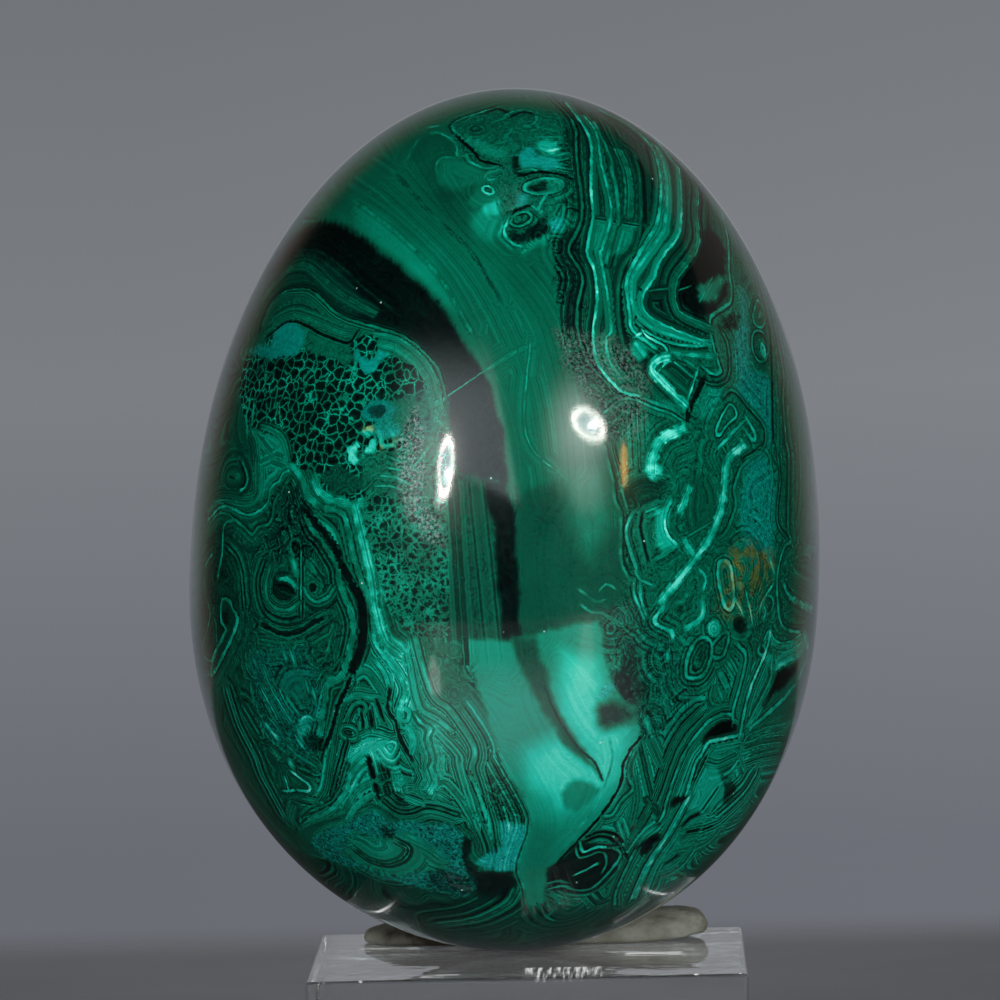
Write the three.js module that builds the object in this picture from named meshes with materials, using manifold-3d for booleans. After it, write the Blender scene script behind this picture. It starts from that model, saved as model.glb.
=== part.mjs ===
// A polished malachite egg, balanced on its blunt end on a clear acrylic display block.
// A lump of display putty, pressed down between the two, cradles the back of the egg's underside.
// Millimetres, +Z up, the viewer at -Y. The origin is the centre of the block's underside.

import * as THREE from "three";
import { ParametricGeometry } from "three/addons/geometries/ParametricGeometry.js";
import { mergeVertices } from "three/addons/utils/BufferGeometryUtils.js";
import Module from "manifold-3d";

const wasm = await Module();
wasm.setup();

// Acrylic block: a square of standard sheet, sawn, polished and eased along every edge.
const BLOCK_SIDE = 38.1;
const BLOCK_HEIGHT = 19.05;
const BLOCK_ARRIS = 0.4;

// Stone egg: widest nearer its blunt end, which is fuller than the pointed one. It was ground by
// hand, so its blunt end bows a little to one side of its axis.
const EGG_WIDTH = 55.5;
const EGG_LENGTH = 76;
const EGG_BLUNT_LENGTH = 32.9; // from the blunt end up to the widest ring
const EGG_BLUNT_FULLNESS = 2.17; // 2 is an ellipse, more is squarer
const EGG_POINTED_FULLNESS = 2.09;
const EGG_BOW = 0.67; // of the blunt end, to the right

// How the egg stands: it leans to the right and a little back, onto the putty.
const LEAN_RIGHT_DEGREES = 3.5;
const LEAN_BACK_DEGREES = 1.2;
const EGG_FOOT_LIFT = 0.4; // from the block's top to the egg's lowest point
const EGG_PLACE_X = -1.5; // of its widest ring's middle, over the block
const EGG_PLACE_Y = 0.6;

// Putty: a flattened roll laid along X behind the egg's foot, thicker towards its right end,
// where its tip was never pressed down and curls up off the block.
const PUTTY_LENGTH = 31.6;
const PUTTY_DEPTH = 12.2;
const PUTTY_HEIGHT_LEFT = 2.2;
const PUTTY_HEIGHT_RIGHT = 2.9;
const PUTTY_SETBACK = 5; // from the egg's middle back to the putty's front edge
const PUTTY_SHIFT_X = 2.1; // from the egg's middle to the middle of the roll
const PUTTY_BULGE = 0.5; // how far its sides swell out past its base
const PUTTY_SQUARENESS = 2.4; // of its outline from above: 2 is an ellipse, more is squarer
const PUTTY_LOBE = 0.5; // depth of the finger marks round its outline
const PUTTY_LOBE_COUNT = 9;
const PUTTY_TIP_LIFT = 0.7; // height of the curled tip above the block
const PUTTY_TIP_LENGTH = 5.5;
const SEAT_CLEARANCE = 0.3; // between the putty's seat and the stone

// Fineness of the curved surfaces.
const EGG_RINGS_PER_END = 22;
const EGG_SEGMENTS = 64;
const PUTTY_SEGMENTS = 72;
const PUTTY_PROFILE_STEPS = 7;

const malachite = new THREE.MeshStandardMaterial({ color: 0x0b5a40, roughness: 0.12, metalness: 0 });
const acrylic = new THREE.MeshStandardMaterial({
  color: 0xdfe6e8,
  roughness: 0.05,
  metalness: 0,
  transparent: true,
  opacity: 0.3,
});
const putty = new THREE.MeshStandardMaterial({ color: 0xa3a08c, roughness: 0.75, metalness: 0 });

function asSolid(geometry, matrix = new THREE.Matrix4()) {
  const bare = geometry.clone().applyMatrix4(matrix);
  bare.deleteAttribute("normal");
  bare.deleteAttribute("uv");
  const merged = mergeVertices(bare, 1e-4);
  return new wasm.Manifold(
    new wasm.Mesh({
      numProp: 3,
      vertProperties: merged.attributes.position.array,
      triVerts: new Uint32Array(merged.index.array),
    }),
  );
}

function asGeometry(solid) {
  const mesh = solid.getMesh();
  const geometry = new THREE.BufferGeometry();
  geometry.setAttribute("position", new THREE.BufferAttribute(mesh.vertProperties, 3));
  geometry.setIndex(new THREE.BufferAttribute(mesh.triVerts, 1));
  geometry.computeVertexNormals();
  return geometry;
}

// Half of the egg's outline, blunt end first: [radius, height above the widest ring].
// Each end is a superellipse of its own, and both meet squarely at the widest ring.
function eggProfile(growth = 0) {
  const radius = EGG_WIDTH / 2 + growth;
  const blunt = EGG_BLUNT_LENGTH + growth;
  const pointed = EGG_LENGTH - EGG_BLUNT_LENGTH + growth;
  const quarter = Math.PI / 2 / EGG_RINGS_PER_END;
  const points = [];
  for (let ring = -EGG_RINGS_PER_END; ring <= EGG_RINGS_PER_END; ring++) {
    const angle = Math.abs(ring) * quarter;
    const atTip = Math.abs(ring) === EGG_RINGS_PER_END;
    const length = ring < 0 ? -blunt : pointed;
    const fullness = ring < 0 ? EGG_BLUNT_FULLNESS : EGG_POINTED_FULLNESS;
    const height = length * Math.sin(angle) ** (2 / fullness);
    points.push(new THREE.Vector2(atTip ? 0 : radius * Math.cos(angle), height));
  }
  return points;
}

// The egg stands along Z, with its widest ring at the origin.
function eggGeometry(growth = 0) {
  const egg = new THREE.LatheGeometry(eggProfile(growth), EGG_SEGMENTS).rotateX(Math.PI / 2);
  const places = egg.getAttribute("position");
  for (let i = 0; i < places.count; i++) {
    const towardsBlunt = Math.max(0, -places.getZ(i) / EGG_BLUNT_LENGTH);
    places.setX(i, places.getX(i) + EGG_BOW * towardsBlunt ** 2);
  }
  return egg;
}

// Turns the egg to its lean, moves it over its place and drops it to its foot's height.
function eggPlacement() {
  const lean = new THREE.Matrix4().makeRotationFromEuler(
    new THREE.Euler(
      THREE.MathUtils.degToRad(-LEAN_BACK_DEGREES),
      THREE.MathUtils.degToRad(LEAN_RIGHT_DEGREES),
      0,
    ),
  );
  const leaning = eggGeometry().applyMatrix4(lean);
  leaning.computeBoundingBox();
  const rise = BLOCK_HEIGHT + EGG_FOOT_LIFT - leaning.boundingBox.min.z;
  return lean.premultiply(new THREE.Matrix4().makeTranslation(EGG_PLACE_X, EGG_PLACE_Y, rise));
}

function stoneEgg() {
  const egg = new THREE.Mesh(eggGeometry(), malachite);
  egg.name = "stone_egg";
  egg.applyMatrix4(eggPlacement());
  return egg;
}

// A square prism with its corners and its top and bottom edges eased by the same small bevel.
function acrylicBlock() {
  const half = BLOCK_SIDE / 2;
  const eased = half - BLOCK_ARRIS;
  const outline = new THREE.Shape();
  outline.moveTo(-eased, -half);
  outline.lineTo(eased, -half);
  outline.lineTo(half, -eased);
  outline.lineTo(half, eased);
  outline.lineTo(eased, half);
  outline.lineTo(-eased, half);
  outline.lineTo(-half, eased);
  outline.lineTo(-half, -eased);
  outline.closePath();
  const prism = new THREE.ExtrudeGeometry(outline, {
    depth: BLOCK_HEIGHT - 2 * BLOCK_ARRIS,
    bevelThickness: BLOCK_ARRIS,
    bevelSize: BLOCK_ARRIS,
    bevelOffset: -BLOCK_ARRIS,
    bevelSegments: 1,
  });
  const block = new THREE.Mesh(prism.translate(0, 0, BLOCK_ARRIS), acrylic);
  block.name = "acrylic_block";
  return block;
}

// Half of the roll's section, from its middle underneath, round its swollen side, to its crown:
// 1 across is its widest edge, 1 up is the crown.
function puttySection() {
  const base = 1 - PUTTY_BULGE / (PUTTY_DEPTH / 2);
  const section = new THREE.Path();
  section.moveTo(0, 0);
  section.lineTo(base / 2, 0);
  section.lineTo(base, 0);
  section.bezierCurveTo(1, 0.05, 1, 0.28, 0.97, 0.42);
  section.bezierCurveTo(0.9, 0.78, 0.55, 1, 0, 1);
  return section.getPoints(PUTTY_PROFILE_STEPS);
}

// The roll lies round a straight spine: its sides run beside the spine, and each end is that
// section turned about the spine's end. Its outline from above is squarish, with finger marks.
function puttyRoll() {
  const section = puttySection();
  const halfLength = PUTTY_LENGTH / 2;
  const halfDepth = PUTTY_DEPTH / 2;
  const spineEnd = halfLength - halfDepth;
  const squared = (share) => Math.sign(share) * Math.abs(share) ** (2 / PUTTY_SQUARENESS);
  const pointOnRoll = (aroundOutline, upSection, place) => {
    const turn = 2 * Math.PI * aroundOutline;
    const { x: across, y: up } = section[Math.round(upSection * (section.length - 1))];
    const finger = (PUTTY_LOBE / halfDepth) * (0.5 + 0.5 * Math.cos(PUTTY_LOBE_COUNT * turn));
    const reach = across * (1 - finger);
    const edge = halfLength * squared(Math.cos(turn));
    const onSpine = THREE.MathUtils.clamp(edge, -spineEnd, spineEnd);
    const x = onSpine + (edge - onSpine) * reach;
    const y = halfDepth * squared(Math.sin(turn)) * reach;
    const fromLeft = x / PUTTY_LENGTH + 0.5;
    const height = THREE.MathUtils.lerp(PUTTY_HEIGHT_LEFT, PUTTY_HEIGHT_RIGHT, fromLeft);
    const intoTip = Math.max(0, 1 - (halfLength - x) / PUTTY_TIP_LENGTH);
    place.set(x, y, up * height + PUTTY_TIP_LIFT * intoTip ** 2);
  };
  return new ParametricGeometry(pointOnRoll, PUTTY_SEGMENTS, section.length - 1);
}

// The stone's own shape, grown by the clearance, is cut out of the roll as the egg's seat.
function puttyPad() {
  const place = new THREE.Matrix4().makeTranslation(
    EGG_PLACE_X + PUTTY_SHIFT_X,
    EGG_PLACE_Y + PUTTY_SETBACK + PUTTY_DEPTH / 2,
    BLOCK_HEIGHT,
  );
  const seat = asSolid(eggGeometry(SEAT_CLEARANCE), eggPlacement());
  const pad = new THREE.Mesh(asGeometry(asSolid(puttyRoll(), place).subtract(seat)), putty);
  pad.name = "putty_pad";
  return pad;
}

const stoneEggOnStand = new THREE.Group();
stoneEggOnStand.add(acrylicBlock(), puttyPad(), stoneEgg());

export default stoneEggOnStand;
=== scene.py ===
import math

import bmesh
import bpy
import numpy as np
from mathutils import Matrix, Vector, noise
from mathutils.bvhtree import BVHTree


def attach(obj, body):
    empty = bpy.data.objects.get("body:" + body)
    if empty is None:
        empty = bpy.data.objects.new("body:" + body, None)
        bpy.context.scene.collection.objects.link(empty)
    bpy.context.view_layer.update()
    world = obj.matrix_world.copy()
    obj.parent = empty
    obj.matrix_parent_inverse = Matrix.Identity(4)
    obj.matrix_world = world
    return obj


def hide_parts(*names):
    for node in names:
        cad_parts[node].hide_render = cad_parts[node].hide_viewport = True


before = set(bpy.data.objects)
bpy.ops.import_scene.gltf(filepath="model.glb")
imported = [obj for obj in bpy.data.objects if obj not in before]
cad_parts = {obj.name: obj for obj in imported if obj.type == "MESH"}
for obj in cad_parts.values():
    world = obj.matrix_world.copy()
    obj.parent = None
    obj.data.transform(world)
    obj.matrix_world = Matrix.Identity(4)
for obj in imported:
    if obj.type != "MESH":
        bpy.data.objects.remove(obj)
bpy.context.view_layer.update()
MM = 0.001

# %% [markdown]
# ## The camera
# The block's square top fixes the camera: its four corners in the picture can come from only
# one place. The lens is long, so the egg is drawn with almost no perspective, and the camera
# looks down by only three degrees, which turns the block's top into a mirror.
# %% The camera
PICTURE_SIZE = 1000
LENS = 291.57
SENSOR = 36.0
TARGET = Vector((-1.72, 0, 59.22)) * MM
CAMERA_DISTANCE = 713.3 * MM
CAMERA_AZIMUTH = math.radians(1.0)
CAMERA_ELEVATION = math.radians(3.08)
CAMERA_ROLL = math.radians(-1.24)

towards_camera = Vector((
    math.sin(CAMERA_AZIMUTH) * math.cos(CAMERA_ELEVATION),
    -math.cos(CAMERA_AZIMUTH) * math.cos(CAMERA_ELEVATION),
    math.sin(CAMERA_ELEVATION),
))
level_right = (-towards_camera).cross(Vector((0, 0, 1))).normalized()
level_up = level_right.cross(-towards_camera)
picture_right = level_right * math.cos(CAMERA_ROLL) + level_up * math.sin(CAMERA_ROLL)
picture_up = level_up * math.cos(CAMERA_ROLL) - level_right * math.sin(CAMERA_ROLL)
camera_place = TARGET + towards_camera * CAMERA_DISTANCE

camera = bpy.data.objects.new("camera", bpy.data.cameras.new("camera"))
bpy.context.scene.collection.objects.link(camera)
camera.data.lens = LENS
camera.data.sensor_width = SENSOR
camera.data.clip_start = 0.01
camera.data.clip_end = 20
turned = Matrix((picture_right, picture_up, towards_camera)).transposed().to_4x4()
camera.matrix_world = Matrix.Translation(camera_place) @ turned
bpy.context.scene.camera = camera
FOCAL_PIXELS = LENS / SENSOR * PICTURE_SIZE


def ray_through(x, y):
    """The direction in which the camera sees a pixel."""
    across = (x - PICTURE_SIZE / 2) / FOCAL_PIXELS
    down = (y - PICTURE_SIZE / 2) / FOCAL_PIXELS
    return (picture_right * across - picture_up * down - towards_camera).normalized()


def pixels_of(points):
    """Where the camera sees an array of points."""
    offset = points - np.array(camera_place)
    depth = -(offset @ np.array(towards_camera))
    x = PICTURE_SIZE / 2 + FOCAL_PIXELS * (offset @ np.array(picture_right)) / depth
    y = PICTURE_SIZE / 2 - FOCAL_PIXELS * (offset @ np.array(picture_up)) / depth
    return np.stack([x, y], 1)


PIXELS_PER_MM = FOCAL_PIXELS / ((CAMERA_DISTANCE - 0.02) / MM)
print("camera at", tuple(camera_place), "pixels per mm", round(PIXELS_PER_MM, 2))

# %% [markdown]
# ## The egg's shape
# A lathe would leave poles, with all the faces crowded there. A cube with finely divided sides,
# blown up to a ball, has faces of nearly one size. The ball then takes the egg's profile: two
# superellipses of different length that meet at the widest ring. The faces are pulled towards
# the side that faces the camera, because the drawing on the stone is only as fine as they are.
# %% The ball
CUTS_PER_SIDE = 128
CROWDING = 0.66

egg_mesh = bpy.data.meshes.new("stone_egg_polished")
cube = bmesh.new()
bmesh.ops.create_cube(cube, size=2)
bmesh.ops.subdivide_edges(cube, edges=cube.edges, cuts=CUTS_PER_SIDE, use_grid_fill=True)
cube.to_mesh(egg_mesh)
cube.free()
corners = np.empty(len(egg_mesh.vertices) * 3)
egg_mesh.vertices.foreach_get("co", corners)
corners = corners.reshape(-1, 3)
squares = corners ** 2
ball = corners * np.sqrt(
    1
    - np.roll(squares, 1, 1) / 2
    - np.roll(squares, 2, 1) / 2
    + np.roll(squares, 1, 1) * np.roll(squares, 2, 1) / 3
)
# A ball drawn flat from its back, shrunk and drawn back again stays a ball, with its front crowded.
flat = ball[:, [0, 2]] / (1 - ball[:, 1:2]) * CROWDING
spread = (flat ** 2).sum(1, keepdims=True)
ball = np.concatenate([2 * flat[:, :1], spread - 1, 2 * flat[:, 1:]], 1) / (1 + spread)
print("egg faces", len(egg_mesh.polygons))

# %% The egg's profile, its lean and its place
EGG_RADIUS = 55.5 / 2
EGG_BLUNT_LENGTH = 32.9
EGG_POINTED_LENGTH = 76 - EGG_BLUNT_LENGTH
EGG_BLUNT_FULLNESS = 2.17
EGG_POINTED_FULLNESS = 2.09
EGG_BOW = 0.67
LEAN_RIGHT = math.radians(3.5)
LEAN_BACK = math.radians(1.2)
EGG_PLACE = (-1.5, 0.6)
EGG_LOWEST = 19.45

lean = np.array(Matrix.Rotation(-LEAN_BACK, 3, "X") @ Matrix.Rotation(LEAN_RIGHT, 3, "Y"))


def egg_from_ball(directions):
    """Points of the standing egg, in millimetres, for directions from its widest ring."""
    pointed = directions[:, 2] > 0
    length = np.where(pointed, EGG_POINTED_LENGTH, -EGG_BLUNT_LENGTH)
    fullness = np.where(pointed, EGG_POINTED_FULLNESS, EGG_BLUNT_FULLNESS)
    height = length * np.abs(directions[:, 2]) ** (2 / fullness)
    towards_blunt = np.clip(-height / EGG_BLUNT_LENGTH, 0, 1)
    across = EGG_RADIUS * directions[:, 0] + EGG_BOW * towards_blunt ** 2
    return np.stack([across, EGG_RADIUS * directions[:, 1], height], 1) @ lean.T


standing = egg_from_ball(ball)
egg_shift = np.array([*EGG_PLACE, EGG_LOWEST - standing[:, 2].min()])
egg_points = (standing + egg_shift) * MM
egg_mesh.vertices.foreach_set("co", egg_points.ravel())
egg_mesh.update()
egg_mesh.shade_smooth()
egg = bpy.data.objects.new("stone_egg_polished", egg_mesh)
bpy.context.scene.collection.objects.link(egg)
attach(egg, "egg")
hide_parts("stone_egg")

# %% [markdown]
# ## Where the drawing lies
# The picture shows one side of the egg. The layers run on through the stone, so a point on the
# far side takes the place of the point in front of it, with a slow twist that keeps the two
# sides from being mirror images. At the outline both agree, and no seam shows.
# %% The drawn side, carried round the egg
OUTLINE_ANGLE = math.radians(87.7)
TWIST = math.radians(165)

from_front = np.arccos(np.clip(-ball[:, 1], -1, 1))
round_front = np.arctan2(ball[:, 2], ball[:, 0])
behind = np.clip((from_front - OUTLINE_ANGLE) / (math.pi - OUTLINE_ANGLE), 0, 1)
drawn_angle = np.where(behind > 0, OUTLINE_ANGLE * (1 - behind), from_front)
drawn_round = round_front + TWIST * behind ** 2
drawn_ball = np.stack(
    [
        np.sin(drawn_angle) * np.cos(drawn_round),
        -np.cos(drawn_angle),
        np.sin(drawn_angle) * np.sin(drawn_round),
    ],
    1,
)
drawn_points = egg_from_ball(drawn_ball) + egg_shift
drawn_pixels = pixels_of(drawn_points * MM)

shell = bmesh.new()
shell.from_mesh(egg_mesh)
shell_tree = BVHTree.FromBMesh(shell)
shell.free()


def on_stone(x, y):
    """The point of the egg and its normal that the camera sees at a pixel, or None."""
    place, normal, _, _ = shell_tree.ray_cast(camera_place, ray_through(x, y))
    return (place / MM, normal) if place else None


# %% [markdown]
# ## Drawing with lines that know their two sides
# A layer of malachite is a line with its own colour, and the stone beside it is often dark on
# one side and green on the other. Each line here has a tone, a width and a tone for each side,
# which fades with distance. Tones run from 0, near black, to 1, the palest mint green. Widths
# and reaches are in pixels of the picture. A line is drawn with a few points, which a smooth
# curve joins. The left side is the one on the left of a line that is drawn downwards, and so
# below one that is drawn to the right, and inside a ring.
# %% The drawing's two lists
veins = []
patches = []


def vein(name, tone, width, points, left=None, right=None, reach=5, echo=0, closed=False):
    """A line of the drawing. width is one number, or one for each end."""
    ends = width if isinstance(width, tuple) else (width, width)
    veins.append(dict(
        name=name, tone=tone, width=ends, points=points, left=left, right=right,
        reach=reach, echo=echo, closed=closed,
    ))


def strokes(name, tone, width, *lines):
    """Short lines of one tone and width, with no colour of their own beside them."""
    for number, points in enumerate(lines, 1):
        vein(f"{name} {number}", tone, width, points)


def grain_along(name, points):
    """A line that isn't seen itself: the area's fine bands follow it."""
    vein(name, 0.0, 0.0, points)


def ring(name, tone, width, centre, radii, tilt=0, points=14, **sides):
    """A closed oval line: tilt is in degrees, clockwise in the picture."""
    turn = math.radians(tilt)
    outline = []
    for step in range(points):
        angle = 2 * math.pi * step / points
        across = radii[0] * math.cos(angle)
        down = radii[1] * math.sin(angle)
        outline.append((
            centre[0] + across * math.cos(turn) - down * math.sin(turn),
            centre[1] + across * math.sin(turn) + down * math.cos(turn),
        ))
    vein(name, tone, width, outline, closed=True, **sides)


def patch(name, outline, soft=4, **values):
    """An area of the drawing. values may hold any of the names in AREA_VALUES."""
    patches.append(dict(name=name, outline=outline, soft=soft, values=values))


def oval(centre, radii, tilt=0, points=12):
    """The outline of an oval patch."""
    turn = math.radians(tilt)
    return [
        (
            centre[0] + radii[0] * math.cos(a) * math.cos(turn) - radii[1] * math.sin(a) * math.sin(turn),
            centre[1] + radii[0] * math.cos(a) * math.sin(turn) + radii[1] * math.sin(a) * math.cos(turn),
        )
        for a in (2 * math.pi * step / points for step in range(points))
    ]


# %% [markdown]
# ### The broad areas
# Before any line, the stone is divided into areas: the smooth green swath that sweeps down from
# the top left, the black band beside it, two patches of honeycomb, where the layers were cut
# across tiny round growths, and the broken zones, where blue-green crumbs fill the gaps.
# %% Areas of the upper half
SWATH = 0.355
patch("swath", [(330, 60), (560, 60), (552, 237), (560, 300), (560, 340), (580, 370), (606, 400),
    (612, 480), (560, 530), (520, 505), (500, 478), (486, 400), (470, 350), (440, 305), (355, 231),
    (318, 220)], tone=SWATH, bands=0.16, crumbs=0.05)
patch("swath, lighter foot", [(420, 240), (520, 250), (560, 380), (570, 500), (530, 500), (500, 430),
    (478, 350)], soft=28, tone=0.39)
patch("swath, darker rim of the fracture", [(500, 250), (545, 240), (556, 300), (556, 330), (535, 320),
    (515, 290)], soft=14, tone=0.34)
patch("swath, shade under the lobes", [(425, 150), (470, 160), (490, 200), (470, 240), (440, 230),
    (420, 190)], soft=14, tone=0.3)
patch("swath, streak", [(352, 200), (380, 214), (430, 262), (462, 310), (448, 306), (404, 262), (360, 226)],
    soft=8, tone=0.5)
patch("black band", [(290, 235), (320, 222), (345, 224), (425, 287), (443, 310), (488, 380), (502, 430),
    (508, 480), (500, 500), (478, 505), (458, 480), (446, 390), (430, 360), (400, 336), (360, 323),
    (310, 290), (280, 285), (262, 300), (262, 270)], soft=3, tone=0.02, bands=0.14)
patch("upper left shoulder", [(190, 440), (230, 330), (262, 280), (300, 250), (330, 262), (372, 306),
    (352, 318), (300, 294), (280, 300), (246, 352), (230, 440)], soft=6, tone=0.17, bands=0.5)
patch("honeycomb", [(246, 356), (262, 345), (276, 330), (292, 324), (349, 345), (360, 336), (380, 335),
    (402, 341), (422, 355), (438, 375), (445, 395), (446, 500), (425, 500), (400, 470), (385, 500),
    (350, 500), (322, 490), (312, 470), (290, 462), (285, 440), (262, 430), (246, 430), (240, 390)], soft=5,
    tone=0.34, comb=1.0, bands=0.1)
patch("honeycomb, green lobe", [(375, 338), (400, 341), (420, 355), (438, 378), (445, 400), (444, 430),
    (432, 425), (430, 395), (418, 372), (400, 360), (378, 352)], soft=5, tone=0.42, comb=0.1, bands=0.5)
patch("honeycomb, clay lens", [(302, 328), (350, 346), (358, 358), (346, 366), (304, 352), (298, 340)],
    soft=4, tone=0.36, comb=0.15, crumbs=0.35)
patch("honeycomb, right part", [(388, 395), (432, 380), (446, 400), (444, 440), (420, 452), (396, 440),
    (384, 420)], soft=10, tone=0.4, comb=0.35, crumbs=0.4, blue=0.3)
patch("honeycomb, foot", [(356, 450), (400, 448), (440, 440), (446, 500), (362, 500)], soft=6, tone=0.36,
    comb=0.25, crumbs=0.4, bands=0.3)
patch("fine honeycomb", [(364, 500), (385, 492), (446, 500), (449, 636), (420, 636), (400, 628), (386, 606),
    (366, 530)], soft=4, tone=0.34, fine_comb=1.0, comb=0)
patch("porous ground beside the comb", [(398, 440), (418, 405), (426, 440), (424, 500), (440, 520),
    (443, 545), (425, 540), (404, 510), (396, 470)], soft=5, tone=0.36, crumbs=0.3, comb=0, fine_comb=1.0,
    pores=1.0)
patch("stripes below the black band", [(447, 470), (500, 478), (503, 640), (510, 700), (480, 700),
    (466, 640), (449, 640)], soft=4, tone=0.27, bands=0.3)
patch("black S band", [(486, 478), (500, 484), (508, 496), (514, 520), (522, 645), (503, 650), (494, 520),
    (488, 500)], soft=3, tone=0.04, bands=0.05)
patch("green right of the S band", [(514, 505), (530, 490), (560, 480), (612, 470), (625, 600), (600, 622),
    (522, 635)], soft=5, tone=0.29, bands=0.06, crumbs=0.08)
patch("green, deeper middle", oval((548, 580), (22, 40), 8), soft=18, tone=0.31)
patch("green, by the fracture", [(560, 470), (604, 470), (612, 520), (590, 560), (570, 530)], soft=14,
    tone=0.46)

# %% Broken zones at the top and the right
patch("crust at the top", [(449, 122), (464, 114), (500, 107), (548, 109), (560, 113), (575, 140),
    (581, 215), (579, 232), (568, 250), (548, 255), (545, 240), (535, 242), (525, 256), (499, 236),
    (503, 222), (488, 180), (487, 167), (456, 147)], soft=2.5, tone=0.36, crumbs=0.42, blue=0.2)
patch("strip beside the sheaf", [(553, 240), (572, 228), (582, 240), (586, 300), (584, 330), (600, 372),
    (640, 388), (668, 405), (610, 400), (590, 385), (572, 362), (562, 330)], soft=3, tone=0.12, crumbs=0.5)
patch("sheaf", [(560, 90), (640, 115), (700, 165), (712, 220), (710, 330), (660, 350), (640, 385),
    (606, 376), (590, 330), (594, 280), (588, 240), (592, 180), (576, 120)], soft=3, tone=0.19, bands=0.4)
patch("sheaf, below the fault", [(594, 220), (640, 224), (636, 240), (625, 252), (606, 262), (592, 250)],
    soft=3, tone=0.46, bands=0.3)
patch("black eye", [(712, 225), (726, 250), (728, 300), (710, 316), (696, 316), (682, 306), (676, 292),
    (682, 276)], soft=2, tone=0.02, bands=0)
patch("dust below the sheaf", [(556, 330), (620, 340), (650, 380), (640, 440), (612, 440), (590, 400),
    (566, 365)], soft=8, crumbs=0.6, tone=0.24, pores=0.35)
patch("broken right side", [(730, 225), (760, 280), (785, 340), (800, 420), (806, 520), (804, 600),
    (790, 660), (740, 650), (690, 690), (640, 640), (622, 560), (612, 480), (640, 410), (690, 400),
    (712, 372), (728, 310)], soft=6, tone=0.33, crumbs=0.42, bands=0.38)
patch("speckled teal, upper right", [(738, 285), (748, 300), (752, 368), (772, 378), (774, 440), (768, 452),
    (766, 430), (756, 412), (742, 400), (736, 388), (732, 335), (740, 325)], soft=4, tone=0.46, blue=0.6,
    crumbs=0.6)
patch("speckled teal, right", [(745, 462), (764, 450), (774, 470), (776, 510), (772, 560), (756, 578),
    (742, 545), (738, 510)], soft=4, tone=0.48, blue=0.55, crumbs=0.6)
patch("teal beside the dark gap", [(708, 385), (722, 388), (722, 400), (712, 415), (700, 420), (694, 414)],
    soft=3, tone=0.5, blue=0.3, crumbs=0.4)
patch("lens below the sheaf", [(645, 300), (650, 288), (662, 284), (668, 290), (666, 305), (672, 318),
    (690, 330), (705, 334), (706, 338), (690, 336), (665, 326), (650, 315)], soft=2, tone=0.14)
patch("teal shards", [(640, 396), (680, 404), (686, 414), (650, 406)], soft=3, tone=0.5, blue=0.3,
    crumbs=0.3)
patch("green beside the crescent", [(634, 418), (652, 424), (656, 440), (650, 474), (632, 470), (622, 440)],
    soft=5, tone=0.4, crumbs=0.4)
patch("rusty rings", oval((748, 566), (24, 24)), soft=8, tone=0.4, brown=0.9, crumbs=0.25)
patch("rust below the rings", oval((738, 598), (24, 20)), soft=9, brown=0.6, tone=0.32)
patch("dark lens", [(622, 484), (648, 474), (668, 480), (664, 494), (640, 506), (624, 508)], soft=4,
    tone=0.2, bands=0.2, crumbs=0.15)
patch("dark clast", [(688, 486), (700, 476), (712, 478), (719, 494), (716, 510), (704, 530), (690, 535),
    (686, 520)], soft=2.5, tone=0.3, bands=0.2, crumbs=0.1)
patch("pale clast", [(655, 508), (668, 506), (666, 530), (674, 545), (664, 555), (656, 545)], soft=3,
    tone=0.66, crumbs=0.2)
patch("grey broken ground", [(600, 610), (640, 600), (680, 640), (700, 690), (690, 720), (660, 750),
    (640, 740), (636, 700), (610, 690)], soft=8, tone=0.3, crumbs=0.55, blue=0.3)

# %% Areas of the lower half
patch("tongue", [(500, 640), (600, 620), (610, 690), (636, 706), (641, 740), (620, 800), (561, 860),
    (548, 880), (540, 912), (526, 906), (516, 860), (526, 840), (530, 822), (520, 795), (500, 760),
    (474, 681), (467, 640)], soft=3, tone=0.58, bands=0.08, crumbs=0.05)
patch("tongue, pale flank", [(560, 650), (600, 660), (600, 690), (630, 735), (620, 775), (600, 800),
    (560, 812), (530, 790), (524, 750), (560, 735), (590, 762), (560, 715)], soft=14, tone=0.84)
patch("tongue, root", [(528, 820), (560, 835), (560, 858), (530, 905), (520, 880), (520, 856)], soft=14,
    tone=0.48, bands=0.02)
patch("tongue, lobe", [(561, 793), (568, 785), (580, 781), (592, 783), (600, 788), (598, 796), (588, 806),
    (576, 812), (566, 808)], soft=2.5, tone=0.56)
patch("dark smear", [(597, 712), (600, 706), (612, 702), (625, 703), (634, 714), (628, 722), (606, 729),
    (599, 724)], soft=9, tone=0.16, crumbs=0.3)
patch("tapering dark line", [(510, 636), (532, 690), (563, 742), (601, 777), (557, 709), (534, 636)],
    soft=4, tone=0.3)
patch("blue chip", [(594, 699), (604, 683), (609, 681), (611, 688), (608, 696)], soft=2, tone=0.72,
    blue=0.8, crumbs=0.5)
patch("lower right", [(700, 690), (740, 650), (800, 640), (806, 660), (780, 760), (720, 850), (640, 910),
    (550, 920), (560, 862), (634, 792), (628, 770), (642, 740), (690, 720)], soft=4, tone=0.36, bands=0.8,
    crumbs=0.15)
patch("pale leaf", [(704, 767), (712, 764), (719, 769), (725, 779), (727, 790), (718, 811), (702, 826),
    (697, 820), (700, 812), (682, 812)], soft=2, tone=0.62, bands=0.35, crumbs=0.1)
patch("leaflets", [(704, 746), (738, 742), (732, 752), (718, 760), (706, 758)], soft=2, tone=0.48,
    bands=0.5)
patch("green flank below the leaf", [(742, 745), (790, 720), (784, 760), (750, 815), (700, 862), (660, 892),
    (640, 892), (660, 855), (690, 815), (726, 800), (730, 770)], soft=6, tone=0.46, bands=0.8)
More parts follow.
